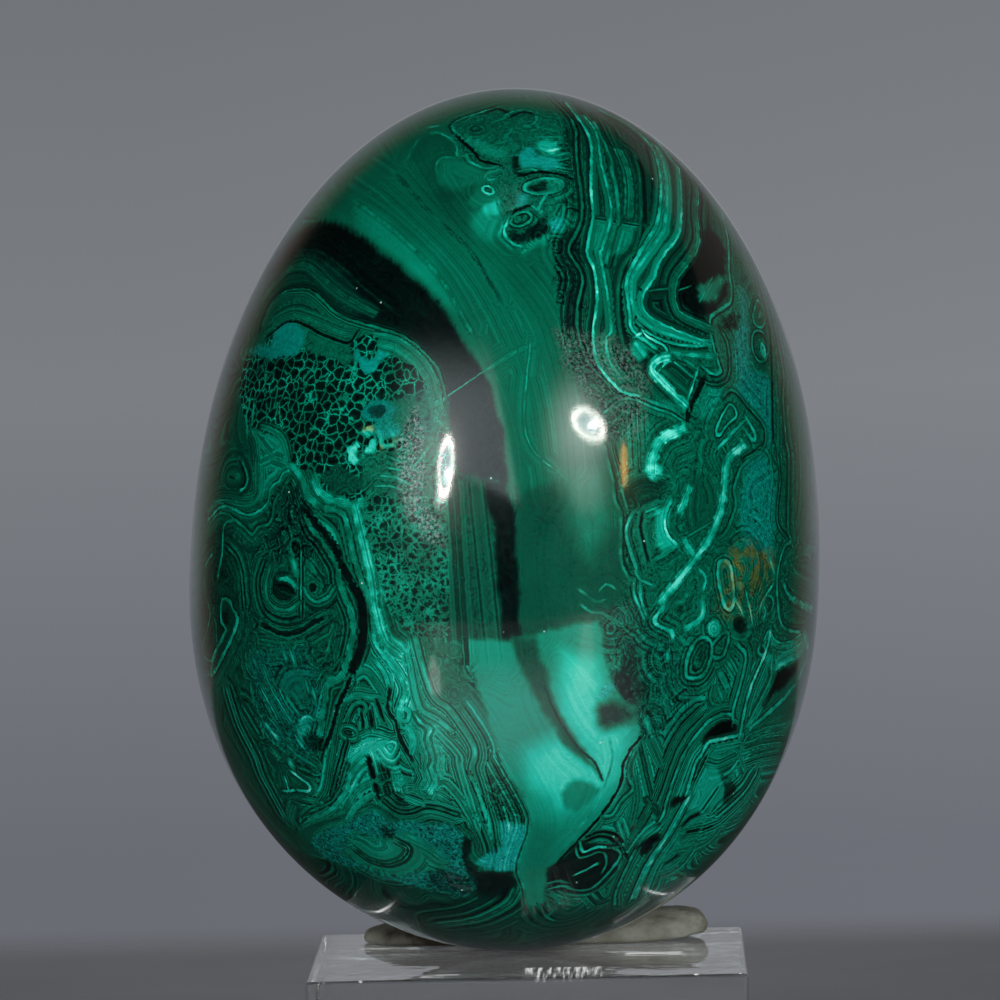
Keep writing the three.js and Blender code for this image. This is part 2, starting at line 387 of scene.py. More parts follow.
patch("bright foot of the flank", [(662, 848), (690, 826), (712, 822), (700, 850), (672, 878), (646, 892),
    (640, 880)], soft=5, tone=0.5, crumbs=0.25, bands=0.4)
patch("dark below the leaf", [(724, 785), (736, 782), (734, 796), (722, 808)], soft=2, tone=0.1)
patch("black cap of the vein", [(704, 733), (724, 719), (732, 720), (738, 731), (702, 743)], soft=2,
    tone=0.02, bands=0)
patch("black wedge in the fold", [(670, 797), (688, 797), (684, 803), (667, 808)], soft=1.5, tone=0.02,
    bands=0)
patch("black heart in the fold", [(657, 832), (640, 846), (639, 853), (646, 854), (660, 838)], soft=2,
    tone=0.02, bands=0)
patch("eye at the foot", oval((585, 868), (34, 24), -20), soft=5, tone=0.06, bands=0.15, crumbs=0)
patch("black beside the foot eye", [(548, 868), (566, 856), (574, 866), (566, 884), (548, 884)], soft=3,
    tone=0.02, bands=0)
patch("left dark ground", [(215, 520), (262, 520), (290, 500), (312, 520), (340, 560), (352, 620),
    (344, 670), (322, 690), (322, 730), (300, 770), (262, 760), (232, 700), (214, 640), (208, 560)], soft=5,
    tone=0.24, crumbs=0.35, bands=0.5)
patch("left crumbs", [(268, 485), (300, 478), (330, 548), (300, 560), (270, 556), (262, 520)], soft=5,
    tone=0.16, crumbs=0.7)
patch("streaks at the left", [(245, 645), (310, 640), (326, 690), (322, 735), (306, 775), (276, 752),
    (250, 720)], soft=8, tone=0.28, crumbs=0.6, blue=0.4)
patch("left green wedge", [(246, 430), (270, 426), (284, 437), (290, 453), (291, 467), (278, 475),
    (262, 500), (240, 500), (250, 480), (256, 455)], soft=4, tone=0.44, bands=0.55)
patch("left outer flank", [(195, 480), (240, 400), (258, 400), (254, 492), (225, 502), (206, 520),
    (196, 560)], soft=4, tone=0.24, bands=0.45)
patch("left loops", [(205, 540), (225, 520), (236, 560), (240, 615), (222, 665), (208, 690), (198, 640)],
    soft=4, tone=0.16, bands=0.3)
patch("marbled ground", [(378, 640), (470, 640), (474, 690), (528, 820), (490, 840), (470, 825), (420, 812),
    (400, 800), (360, 830), (300, 830), (312, 780), (330, 740), (345, 690), (360, 660)], soft=5, tone=0.36,
    bands=0.9, crumbs=0.15)
patch("bright ground of the rope", [(374, 640), (412, 640), (420, 690), (410, 730)], soft=6, tone=0.62,
    bands=0.7, blue=0.2)
patch("bright ground right of the rope", [(416, 730), (440, 716), (450, 770), (440, 800), (424, 790),
    (428, 760)], soft=6, tone=0.55, bands=0.6, crumbs=0.4)
patch("grey pitted lens", [(424, 640), (462, 640), (470, 690), (462, 712), (444, 700), (432, 680)], soft=4,
    tone=0.38, crumbs=0.35, bands=0.05)
patch("pale lump", [(360, 738), (386, 738), (396, 746), (391, 757), (400, 768), (406, 784), (400, 792),
    (376, 762), (366, 757), (356, 761), (346, 776), (342, 790), (346, 764)], soft=3, tone=0.68, bands=0.5,
    crumbs=0.15)
patch("lump's right cheek", [(388, 764), (398, 768), (407, 784), (402, 796), (390, 792), (382, 778)],
    soft=4, tone=0.52, crumbs=0.6)
patch("dark right of the lump", [(378, 762), (390, 770), (394, 792), (410, 806), (396, 806), (380, 794)],
    soft=3, tone=0.1, crumbs=0.3)
patch("blue lens", [(311, 844), (313, 836), (327, 828), (345, 824), (362, 814), (376, 812), (388, 821),
    (421, 821), (452, 825), (464, 832), (463, 850), (480, 889), (465, 898), (404, 886), (322, 859)],
    soft=2.5, tone=0.42, blue=0.6, crumbs=0.8, bands=0.1)
patch("green core of the lens", [(350, 835), (362, 832), (388, 838), (404, 832), (448, 860), (442, 870),
    (390, 874), (362, 866), (346, 852)], soft=4, tone=0.42, blue=0, crumbs=0.12, bands=0.5)
patch("lens, dark spot", [(383, 830), (398, 828), (396, 838), (384, 839)], soft=2.5, tone=0.12)
patch("lens, dark crumbs", [(440, 866), (470, 880), (472, 896), (440, 892), (424, 880)], soft=5, tone=0.2,
    crumbs=0.7)
patch("turquoise by the tongue", [(502, 822), (524, 824), (526, 834), (512, 870), (494, 873), (476, 864),
    (484, 854), (503, 846)], soft=2.5, tone=0.62, blue=0.9, crumbs=0.45)
patch("crumbs by the tongue", [(484, 780), (500, 762), (520, 800), (526, 820), (500, 822), (490, 808)],
    soft=4, tone=0.22, crumbs=0.6)
patch("black vein by the tongue", [(462, 838), (472, 842), (470, 862), (480, 872), (512, 872), (518, 896),
    (500, 902), (480, 900), (464, 862)], soft=2.5, tone=0.03, bands=0.2)
patch("black under the lens", [(290, 850), (374, 878), (436, 894), (480, 898), (520, 896), (524, 908),
    (480, 935), (400, 930), (320, 885)], soft=4, tone=0.12, bands=0.8)
patch("bottom", [(470, 922), (540, 908), (610, 906), (640, 915), (580, 945), (500, 948)], soft=5, tone=0.25,
    bands=0.6, crumbs=0.2)
patch("left lower rim", [(200, 690), (230, 700), (256, 766), (282, 815), (310, 850), (290, 850), (240, 790),
    (205, 720)], soft=5, tone=0.22, bands=0.7)

# %% [markdown]
# ### The swath and the crust at the top
# The swath is one thick layer, cut almost along its face, so it shows only faint streaks, and
# invisible guide lines give them their direction. The crust above it was a cavity once: each
# little growth on its wall was cut across, and shows as a bright ring with a black inside.
# %% Streaks of the swath
grain_along("streaks beside the black band", [(336, 212), (402, 259), (448, 304), (481, 362), (506, 430),
    (513, 480)])
grain_along("streaks in the middle", [(366, 168), (402, 196), (478, 276), (528, 380), (548, 500)])
grain_along("streaks at the top", [(400, 126), (452, 212), (530, 300), (552, 350), (566, 410), (572, 470)])
grain_along("stripes below the haze", [(453, 485), (464, 660)])
grain_along("stripes beside the S band", [(476, 482), (494, 660)])
grain_along("streaks by the eye", [(545, 520), (540, 560), (548, 626)])
vein("swath, pale streak", 0.5, 3, [(360, 205), (400, 236), (440, 278), (470, 330)], echo=0.1)
vein("swath, dark streak", 0.3, 4, [(398, 176), (430, 212), (470, 250), (500, 300)], echo=0.1)

# %% The crust
vein("crust, rim", 0.6, 2.5, [(500, 106), (456, 121), (453, 129), (464, 140)], left=0.02)
strokes("crust, black folds", 0.03, 3.5, [(457, 136), (476, 154), (480, 160), (500, 165)], [(490, 111),
    (498, 109), (507, 112)], [(511, 117), (518, 113), (526, 112), (533, 114)], [(520, 175), (541, 172),
    (566, 175)], [(514, 211), (530, 205)])
strokes("crust, pale rims", 0.56, 2, [(505, 116), (511, 112), (522, 110), (533, 112), (537, 118),
    (533, 124), (526, 126)], [(494, 122), (512, 115)], [(478, 150), (496, 156), (506, 153)], [(538, 149),
    (545, 154), (555, 156), (564, 154)], [(539, 137), (556, 137)], [(520, 171), (530, 169), (541, 171),
    (550, 169), (568, 172)], [(543, 128), (552, 130)], [(512, 208), (528, 202)])
ring("crust, first eye", 0.36, 2, (476, 129), (13, 6), left=0.2, reach=4)
ring("crust, first eye's heart", 0.2, 2, (476, 129), (5, 2.5))
patch("crust, pale bank", [(464, 136), (480, 140), (495, 148), (508, 146), (506, 156), (492, 156),
    (468, 146)], soft=2, tone=0.5)
vein("upper lobe, edge", 0.62, 2, [(432, 134), (440, 133), (453, 141), (457, 149), (457, 156), (464, 156)],
    left=0.3, reach=8)
patch("upper lobe", [(408, 158), (418, 138), (430, 133), (441, 133), (450, 141), (457, 157), (440, 152),
    (416, 162)], soft=3, tone=0.3)
vein("upper lobe, rim", 0.45, 2, [(408, 158), (418, 140), (427, 135)], left=0.36, reach=6)
strokes("upper lobe, glints", 0.72, 1.8, [(431, 127), (437, 126)], [(430, 133), (436, 132)])
patch("second lobe", [(437, 162), (446, 157), (458, 158), (480, 170), (487, 178), (484, 183), (452, 190),
    (440, 184)], soft=3, tone=0.42)
vein("second lobe, rim", 0.52, 2, [(437, 172), (437, 162), (444, 157), (456, 158)])
patch("shade below the lobe", oval((446, 194), (9, 8)), soft=6, tone=0.25)
strokes("teal squiggles", 0.66, 2.2, [(466, 155), (470, 162), (484, 168), (494, 168)], [(485, 177),
    (487, 173), (497, 170)], [(486, 177), (489, 180), (494, 179)])
ring("white-rimmed eye", 0.75, 1.8, (488, 190), (6, 3.6), 25, left=0.05, reach=3)
patch("third lobe", [(470, 195), (478, 186), (488, 184), (497, 190), (498, 200), (476, 206), (468, 202)],
    soft=2, tone=0.43)
patch("fan by the crust", [(470, 225), (476, 212), (484, 206), (498, 212), (502, 224), (498, 236),
    (486, 240), (474, 234)], soft=7, tone=0.52)
patch("fan, bright heart", [(481, 206), (499, 200), (499, 212), (495, 216), (484, 212)], soft=3, tone=0.74,
    blue=0.4)
vein("fan, edge", 0.5, 1.6, [(497, 203), (499, 210), (508, 222), (514, 220)])
patch("black crumbs of the crust", [(507, 232), (520, 232), (541, 222), (547, 214), (549, 226), (546, 234),
    (522, 242), (511, 240)], soft=2, tone=0.06, crumbs=0.35)
ring("second eye", 0.62, 2.6, (521, 219), (11, 6.5), -20, left=0.02, right=0.1)
vein("second eye, outer arc", 0.72, 2.4, [(508, 219), (504, 233), (513, 244), (520, 246)], left=0.3,
    reach=4)
strokes("second eye, arms", 0.6, 2, [(533, 206), (538, 211), (540, 205), (548, 193)], [(503, 224),
    (499, 237), (510, 248)])
patch("teal by the second eye", [(514, 203), (520, 195), (530, 194), (528, 201), (518, 207)], soft=2,
    tone=0.55, blue=0.8)
ring("long eye", 0.6, 2.8, (544, 186), (20, 7.5), -5, right=0.12)
patch("long eye, dark half", [(527, 188), (544, 181), (548, 184), (545, 190), (534, 191)], soft=1.5,
    tone=0.06)
patch("long eye, light half", [(546, 182), (558, 180), (561, 184), (556, 189), (546, 190)], soft=1.5,
    tone=0.46)
patch("turquoise block", [(517, 156), (528, 147), (534, 149), (536, 155), (558, 160), (559, 168),
    (548, 170), (540, 165), (524, 170)], soft=1.5, tone=0.62, blue=1, crumbs=0.25)
patch("bright block", [(537, 143), (545, 139), (556, 140), (560, 146), (558, 152), (548, 155), (541, 151)],
    soft=1.5, tone=0.68)
vein("bright block, glint", 0.96, 2.8, [(543, 149), (550, 151), (558, 149)])
patch("black pillar", [(512, 157), (519, 157), (521, 176), (514, 178)], soft=1.5, tone=0.06, crumbs=0.4)
patch("dark edge of the crust", [(563, 125), (572, 128), (580, 215), (570, 215), (562, 200), (566, 178),
    (562, 160)], soft=2, tone=0.2, crumbs=0.6)
patch("teal at the crust's foot", [(549, 224), (556, 217), (564, 219), (562, 227), (553, 232)], soft=2,
    tone=0.6, blue=0.8)
patch("crust's pale tip", [(516, 248), (549, 234), (546, 244), (533, 248), (524, 257)], soft=2, tone=0.52)

# %% [markdown]
# ### The sheaf at the upper right
# Ten thin lines run down the shoulder together like a sheaf of straw. Layers that grew at the
# same time stay side by side, so the gaps between them hardly change, and a small fault steps
# all of them at once. Black stone shows between some of them.
# %% Lines of the sheaf
vein("sheaf, first", 0.46, 2.2, [(549, 96), (567, 114), (575, 129), (577, 162), (582, 215), (569, 247),
    (571, 256), (581, 272), (582, 284), (577, 311), (579, 337), (588, 362), (606, 382)], left=0.1,
    right=0.03, reach=6)
vein("sheaf, brightest", 0.8, 2.6, [(565, 102), (584, 127), (591, 147), (591, 190), (593, 217), (587, 251),
    (594, 270), (597, 300), (593, 333), (598, 364), (620, 390), (638, 396)], left=0.03, right=0.34, reach=8,
    echo=0.15)
vein("sheaf, third", 0.66, 2.6, [(584, 116), (596, 132), (601, 162), (611, 211), (602, 249), (600, 254),
    (607, 292), (611, 331), (606, 337), (609, 360), (624, 380)], left=0.38, right=0.32, reach=7, echo=0.3)
vein("sheaf, fourth", 0.55, 3, [(594, 122), (611, 158), (612, 172), (616, 186), (619, 219), (615, 227),
    (606, 262)], left=0.3, right=0.2, reach=6, echo=0.3)
vein("sheaf, hazy middle", 0.42, 12, [(618, 150), (626, 170), (629, 192), (628, 215)], left=0.2, right=0.12,
    reach=8, echo=0.7)
vein("fault in the sheaf", 0.12, 1.2, [(594, 218), (640, 226)])
vein("sheaf, fifth", 0.4, 1.8, [(636, 160), (640, 178), (641, 223), (635, 251), (627, 260), (619, 282),
    (619, 320), (624, 344)], left=0.2, right=0.03, reach=8, echo=0.2)
vein("sheaf, sixth", 0.74, 3, [(600, 110), (631, 127), (653, 149), (660, 174), (661, 190), (657, 223),
    (643, 247), (627, 280), (630, 315), (631, 327), (637, 335), (655, 348)], left=0.34, right=0.5, reach=9,
    echo=0.3)
vein("sheaf, seventh", 0.7, 2, [(655, 145), (663, 162), (667, 190), (665, 223), (661, 235), (635, 272),
    (631, 284), (633, 308), (650, 327), (690, 341), (711, 346)], left=0.44, right=0.54, reach=9, echo=0.4)
vein("sheaf, eighth", 0.75, 2.4, [(640, 118), (672, 160), (680, 175), (680, 230), (665, 253), (658, 265),
    (654, 278), (642, 300), (653, 319), (696, 338), (710, 341)], left=0.55, right=0.22, reach=12, echo=0.5)
vein("sheaf, ninth", 0.45, (5, 9), [(672, 150), (692, 180), (697, 192), (696, 215), (698, 240), (692, 256),
    (675, 280), (675, 305), (683, 316), (710, 328)], left=0.25, right=0.02, reach=10, echo=0.5)
vein("sheaf, rim line", 0.5, 2.5, [(628, 118), (650, 140), (652, 150)])
vein("sheaf, outer rim", 0.42, 2.5, [(640, 108), (676, 135), (704, 170), (722, 210)], left=0.24, right=0.14,
    reach=10, echo=0.5)

# %% [markdown]
# ### The broken right side
# Here the crust once cracked, and its pieces were cemented by younger layers: every fragment
# wears a bright rim. Ovals are small round growths that the saw has cut through.
# %% The fracture and the eye
vein("fracture", 0.64, 2.6, [(712, 190), (720, 206), (728, 240), (729, 270), (731, 300), (714, 314),
    (710, 320), (711, 335), (718, 362), (721, 372), (712, 374), (702, 366)], right=0.06, echo=0.1)
vein("fracture's echo", 0.45, 2, [(722, 332), (728, 345), (729, 375), (720, 384), (710, 384), (702, 380)],
    left=0.1, right=0.16, echo=0.3)
patch("black pocket", [(722, 318), (738, 314), (738, 326), (730, 332), (722, 330)], soft=2, tone=0.04)
vein("ribbon, upper edge", 0.7, 2.2, [(637, 322), (648, 333), (668, 342), (690, 346), (712, 345)],
    left=0.12, right=0.3, reach=4, echo=0.1)
vein("ribbon, lower edge", 0.62, (3, 5), [(668, 353), (714, 357)], left=0.12, right=0.3, reach=4, echo=0.1)
vein("ribbon, last stripe", 0.4, 2, [(676, 358), (694, 364), (712, 366)], left=0.1, reach=4)
strokes("white crumbs", 0.92, 2.6, [(643, 331), (648, 337), (664, 345), (667, 350)], [(636, 336),
    (640, 334)])
patch("small eye", oval((639, 349), (10, 11), -30), soft=2, tone=0.52)
strokes("small eye, heart", 0.86, 3.5, [(636, 344), (644, 354)])
vein("bullet, nose", 0.86, (9, 8), [(686, 405), (658, 378), (652, 370), (654, 363), (662, 358), (669, 357)],
    left=0.1, right=0.5, reach=7, echo=0.1)
vein("bullet, far edge", 0.8, 1.8, [(698, 370), (686, 406)], left=0.4, right=0.06, reach=4)
vein("bullet, upper edge", 0.6, 2, [(668, 354), (684, 360), (700, 370)], left=0.35, right=0.2, reach=4)
patch("bullet, core", [(660, 369), (671, 361), (694, 378), (686, 394)], soft=1.2, tone=0.26, bands=0.4,
    crumbs=0)
strokes("bullet, core's edge", 0.75, 1.6, [(659, 370), (671, 361), (694, 378)])
vein("bullet, stripe", 0.46, 2, [(662, 370), (688, 393)])
vein("dark gap", 0.04, 5, [(704, 378), (690, 408), (688, 420)])
patch("clast in the eye", [(697, 286), (722, 273), (727, 274), (716, 300), (710, 304), (697, 301)],
    soft=1.5, tone=0.42, bands=0.5, crumbs=0)
vein("clast in the eye, stripe", 0.56, 1.6, [(712, 278), (700, 301)], echo=0.5)
vein("scratch through the eye", 0.5, 0.9, [(646, 291), (668, 289), (676, 291), (690, 286)])

# %% Clasts and rings at the right
vein("kite", 0.6, 2, [(758, 300), (766, 318), (761, 328), (753, 320)], left=0.4, right=0.1, reach=4,
    closed=True)
ring("right eye", 0.55, 2, (760, 346), (8, 16), -8, left=0.08, right=0.2)
ring("right eye, pale heart", 0.8, 4, (763, 350), (2, 6), -8)
strokes("right, small lines", 0.5, 2, [(752, 362), (755, 370), (762, 374), (770, 374), (775, 378)],
    [(776, 385), (778, 410), (778, 450)], [(740, 296), (746, 310), (745, 326)])
vein("right rim, dark line", 0.08, 3, [(752, 262), (766, 312), (771, 350), (773, 440)])
vein("right rim, first line", 0.5, 2.2, [(776, 441), (780, 480), (777, 520), (788, 540)], left=0.2,
    right=0.1, reach=6, echo=0.4)
vein("right rim, second line", 0.55, 2.2, [(768, 290), (783, 370), (783, 400), (786, 440), (789, 460),
    (788, 525), (791, 540)], left=0.1, right=0.16, reach=6, echo=0.5)
vein("right rim, outer line", 0.4, 2.5, [(786, 340), (796, 400), (801, 480), (798, 520)], left=0.16,
    right=0.2, reach=8, echo=0.7)
vein("right rim, lower loop", 0.62, 3, [(791, 541), (783, 550), (777, 580), (780, 620), (788, 630),
    (800, 632)], left=0.2, right=0.06, reach=6, echo=0.3)
vein("right rim, splash", 0.66, (4, 9), [(784, 585), (790, 597), (812, 610)], left=0.1, right=0.06,
    echo=0.5)
vein("outer wall of the clasts", 0.52, 2.4, [(724, 396), (728, 391), (735, 391), (748, 406), (763, 424),
    (766, 438), (762, 448), (744, 460)], left=0.04, right=0.3, echo=0.1)
vein("upper clast", 0.7, 2, [(729, 404), (737, 415), (728, 424), (719, 436), (716, 430)], closed=True,
    left=0.2, right=0.05, reach=4)
strokes("lower clast, bright edges", 0.72, 3, [(718, 448), (745, 420)], [(746, 418), (756, 436), (752, 440),
    (744, 428)])
vein("lower clast, ragged edge", 0.76, 4, [(742, 440), (740, 447), (728, 462)], left=0.1, reach=4)
strokes("lower clast, bars", 0.5, 1.8, [(716, 448), (714, 456), (718, 466)], [(722, 446), (728, 456)])
vein("rope of the right side", 0.82, 8, [(745, 445), (727, 463), (722, 505), (703, 548), (660, 602)],
    left=0.2, right=0.14, reach=6, echo=0.3)
vein("wall beside the rope", 0.52, 3, [(760, 452), (742, 466), (734, 490), (736, 505), (728, 528),
    (722, 535)], left=0.1, right=0.34, echo=0.3)
vein("ridge line", 0.6, 2, [(605, 412), (626, 398), (655, 408), (672, 414), (686, 424)], left=0.3,
    right=0.12, echo=0.2)
vein("crescent of the right side", 0.86, 10, [(684, 428), (664, 437), (652, 458), (651, 470)], left=0.3,
    right=0.2, reach=6, echo=0.15)
patch("crescent's foot", oval((655, 472), (9, 8)), soft=2, tone=0.8)
strokes("dark lens, rim", 0.5, 1.6, [(622, 486), (632, 478), (648, 474), (664, 478)], [(621, 488),
    (627, 508)])
vein("striped clast, left edge", 0.76, 2.5, [(632, 514), (627, 525), (627, 540), (636, 568)], left=0.12,
    right=0.34, reach=6, echo=0.6)
vein("striped clast, dark stripe", 0.12, 3, [(642, 514), (641, 530), (648, 560)], left=0.4, right=0.4,
    reach=6, echo=0.8)
vein("striped clast, bright line", 0.9, 3, [(671, 502), (666, 512), (665, 525), (669, 537), (677, 544)],
    left=0.5, right=0.1, reach=4, echo=0.1)
vein("striped clast, right piece", 0.76, 8, [(690, 488), (680, 512)], left=0.16, right=0.12, echo=0.2)
strokes("striped clast, foot", 0.62, 2.4, [(658, 558), (677, 546)], [(646, 512), (658, 507)])
strokes("dark clast, rims", 0.46, 1.8, [(712, 478), (717, 490), (719, 505)], [(712, 522), (690, 535)],
    [(692, 494), (690, 510), (692, 524)])
strokes("pale pieces", 0.72, 6, [(684, 540), (694, 556)], [(703, 600), (702, 616), (686, 628)])
vein("tall loop", 0.75, 3.4, [(720, 562), (727, 561), (731, 568), (734, 596), (733, 606), (728, 610),
    (723, 602), (718, 574)], closed=True, left=0.4, right=0.12)
strokes("rusty rings", 0.42, 2.4, [(738, 546), (745, 544), (751, 552), (754, 566), (753, 578), (748, 582)],
    [(740, 556), (745, 556), (749, 565), (748, 575)], [(733, 540), (742, 534), (752, 538), (760, 552),
    (762, 570), (758, 586)])
ring("small ring", 0.5, 1.6, (740, 586), (3, 3))
strokes("splinters", 0.74, 2.2, [(733, 596), (744, 616)], [(746, 592), (753, 624)], [(772, 586), (762, 602),
    (760, 612)], [(758, 612), (762, 606), (766, 610), (764, 618)], [(700, 570), (706, 578), (704, 588)],
    [(770, 560), (774, 572)])
ring("splinter eye", 0.55, 1.8, (768, 605), (5, 9), 15, left=0.1, reach=4)
vein("V below the rope", 0.76, 4, [(664, 606), (654, 622), (672, 632), (673, 638)], left=0.06, right=0.2,
    echo=0.1)
ring("pale blob", 0.7, 8, (714, 629), (3.5, 4.5), right=0.1, reach=4)
strokes("blob's ring", 0.5, 1.8, [(703, 626), (704, 636), (708, 641), (713, 642)], [(722, 622), (726, 630),
    (727, 638)])
patch("dark oval", oval((740, 625), (8, 10)), soft=2, tone=0.08)
ring("dark oval, rim", 0.45, 1.8, (740, 625), (10, 12), echo=0.2)
vein("big oval", 0.64, 3.2, [(697, 640), (705, 637), (711, 642), (711, 658), (702, 676), (689, 678),
    (686, 672), (688, 656)], closed=True, left=0.1, right=0.16, reach=6, echo=0.4)
patch("big oval, light heart", oval((702, 652), (5, 12), 15), soft=3, tone=0.22)
vein("small oval", 0.58, 2.8, [(728, 632), (728, 642), (722, 657), (712, 656), (712, 646), (722, 634)],
    closed=True, left=0.04, right=0.16)
strokes("double line", 0.72, 1.8, [(634, 584), (634, 594), (643, 616)], [(640, 586), (641, 598),
    (645, 612)], [(636, 572), (640, 580), (650, 584)])
vein("edge of the smooth ground", 0.5, 2.4, [(604, 446), (613, 480), (615, 500), (621, 516), (621, 560),
    (628, 576)], right=0.12, reach=6, echo=0.1)
strokes("bits under the green", 0.55, 2, [(581, 591), (596, 602), (604, 600)], [(583, 606), (592, 612),
    (604, 614), (616, 622)], [(600, 590), (606, 584), (614, 588)])
strokes("crumbs beside the ovals", 0.62, 3, [(680, 638), (686, 644), (690, 640)], [(729, 664), (733, 671)],
    [(722, 677), (725, 683)], [(719, 690), (721, 695)], [(646, 720), (649, 728)], [(667, 653), (668, 660)])

# %% [markdown]
# ### The lower right
# The layers turn round a corner here: they fold tightly at one point and open out again like a
# fan. Two bright veins bound the fold, and the layers outside it follow them in step.
# %% Veins and fans of the lower right
vein("fold, outer vein", 0.62, 3.4, [(733, 716), (724, 714), (706, 724), (684, 754), (667, 800), (662, 818),
    (640, 842), (617, 890), (615, 905)], left=0.1, right=0.24, reach=10, echo=0.9)
vein("fold, layers outside", 0.34, 2, [(700, 712), (684, 728), (670, 752), (650, 806), (630, 840),
    (620, 862)], left=0.2, right=0.24, reach=10, echo=0.9)
vein("fold, outer bulge", 0.5, 7, [(656, 826), (646, 834), (638, 844)], echo=0.2)
vein("fold, inner vein", 0.84, 3.6, [(740, 735), (714, 741), (708, 743), (700, 757), (696, 762),
    (687, 793)], left=0.34, right=0.1, reach=7, echo=0.7)
vein("fold, lower vein", 0.8, (3.5, 7), [(690, 796), (669, 834), (649, 864), (634, 898)], left=0.36,
    right=0.12, reach=7, echo=0.7)
strokes("fold, fine layers", 0.42, 1.6, [(700, 748), (692, 760), (680, 792)], [(712, 748), (702, 762),
    (692, 790)])
vein("leaf, dark stripe", 0.2, 2, [(716, 790), (702, 810)], left=0.6, right=0.6, echo=0.7)
vein("leaf, dark rib", 0.14, 2.4, [(707, 756), (694, 782)], left=0.6, right=0.6, echo=0.5)
strokes("leaflet edges", 0.55, 1.6, [(714, 745), (738, 740)], [(706, 759), (718, 762), (732, 756)])
vein("light line below the leaf", 0.55, 2, [(753, 773), (742, 790), (719, 811)], left=0.34, right=0.2,
    reach=6, echo=0.5)
strokes("dark bits below the leaf", 0.04, 4, [(684, 824), (690, 818), (698, 814)], [(704, 829), (712, 826)],
    [(688, 832), (698, 830)], [(668, 862), (676, 856)])
vein("stem, bright", 0.84, 4.2, [(770, 632), (767, 648), (748, 696), (740, 735)], left=0.12, right=0.12,
    echo=0.3)
ring("stem, knot", 0.72, 2, (762, 650), (3.5, 4.5), left=0.2, reach=10)
vein("stem, left", 0.62, 3.4, [(738, 645), (746, 660), (733, 712), (734, 720)], left=0.26, right=0.08,
    echo=0.5)
vein("stem, right", 0.56, 5, [(774, 664), (772, 682), (746, 734)], left=0.04, right=0.2, echo=0.5)
vein("petal, outer edge", 0.66, (8, 5), [(804, 632), (808, 645), (806, 660), (790, 692), (750, 729)],
    left=0.04, right=0.2, echo=0.4)
patch("petal, black heart", [(776, 673), (802, 660), (798, 672), (762, 708)], soft=1.5, tone=0.03,
    bands=0.2)
patch("petal, pale upper", [(764, 646), (770, 632), (778, 644), (806, 636), (808, 644), (800, 657),
    (776, 671), (768, 668), (763, 660)], soft=2, tone=0.56, bands=0.4, crumbs=0.15)
patch("petal, green hollow", [(768, 642), (776, 648), (788, 649), (776, 656), (767, 651)], soft=2,
    tone=0.32)
vein("petal, top edge", 0.62, 2.5, [(764, 640), (769, 631), (774, 639), (780, 643), (792, 641), (805, 630)],
    right=0.1, reach=4)
vein("petal, bright edge", 0.74, 5, [(775, 669), (800, 654)], left=0.04, right=0.5, reach=4, echo=0.2)
vein("fan, first", 0.45, 4, [(745, 734), (792, 714)], left=0.2, right=0.3, echo=0.7)
vein("fan, bright leaf", 0.52, (3, 10), [(750, 738), (766, 731), (780, 728), (794, 722)], left=0.14,
    right=0.3, echo=0.7)
vein("fan, third", 0.45, 4, [(748, 746), (764, 741), (788, 738)], left=0.18, right=0.14, reach=4, echo=0.7)
vein("fan, fourth", 0.42, 4, [(750, 756), (764, 751), (786, 747)], left=0.26, right=0.18, echo=0.7)
vein("line beside the tongue", 0.62, 2.4, [(634, 752), (629, 764), (629, 778), (633, 788), (621, 801),
    (612, 815), (604, 816)], left=0.12, right=0.24, echo=0.3)
vein("edge of the tongue", 0.06, 3, [(640, 738), (630, 750), (623, 766), (620, 786), (598, 819), (561, 859),
    (551, 875)])
vein("pale edge of the tongue", 0.66, 2, [(610, 742), (612, 762), (596, 806), (580, 826)], echo=0.3)
strokes("right of the tongue, threads", 0.34, 1.2, [(640, 746), (650, 790)], [(652, 744), (660, 762)],
    [(634, 780), (636, 800), (632, 820)], [(648, 800), (658, 812)], [(622, 824), (626, 838), (625, 850)])
vein("foot eye, brow", 0.8, 2.6, [(580, 843), (583, 852), (598, 847), (613, 848)], left=0.06, right=0.1,
    reach=4)
vein("foot eye, second ring", 0.6, 2, [(576, 849), (579, 858), (600, 852), (606, 856), (606, 864),
    (602, 873)], left=0.04, right=0.1, reach=4)
vein("foot eye, ring", 0.64, 3, [(613, 848), (620, 852), (618, 861), (594, 887), (575, 890), (564, 886),
    (549, 889)], left=0.14, right=0.06, echo=0.5)
vein("foot eye, comma", 0.86, (2, 3.5), [(575, 875), (597, 864)])
vein("foot eye, loops above", 0.36, 2.4, [(588, 838), (600, 834), (612, 836), (620, 844), (624, 856)],
    left=0.1, right=0.1, reach=6, echo=0.8)
strokes("foot, light bits", 0.48, 3, [(548, 883), (558, 881), (568, 883)], [(551, 894), (557, 897)],
    [(562, 908), (568, 909)], [(594, 896), (600, 902), (606, 900)])
strokes("foot, pale loops", 0.5, 2, [(537, 903), (545, 915), (556, 921), (572, 919), (588, 912)],
    [(548, 905), (553, 911), (547, 917)], [(560, 912), (570, 914), (580, 908)])
vein("tapering dark line", 0.22, (1.5, 2.5), [(546, 690), (557, 716), (577, 746), (594, 762), (602, 779)])

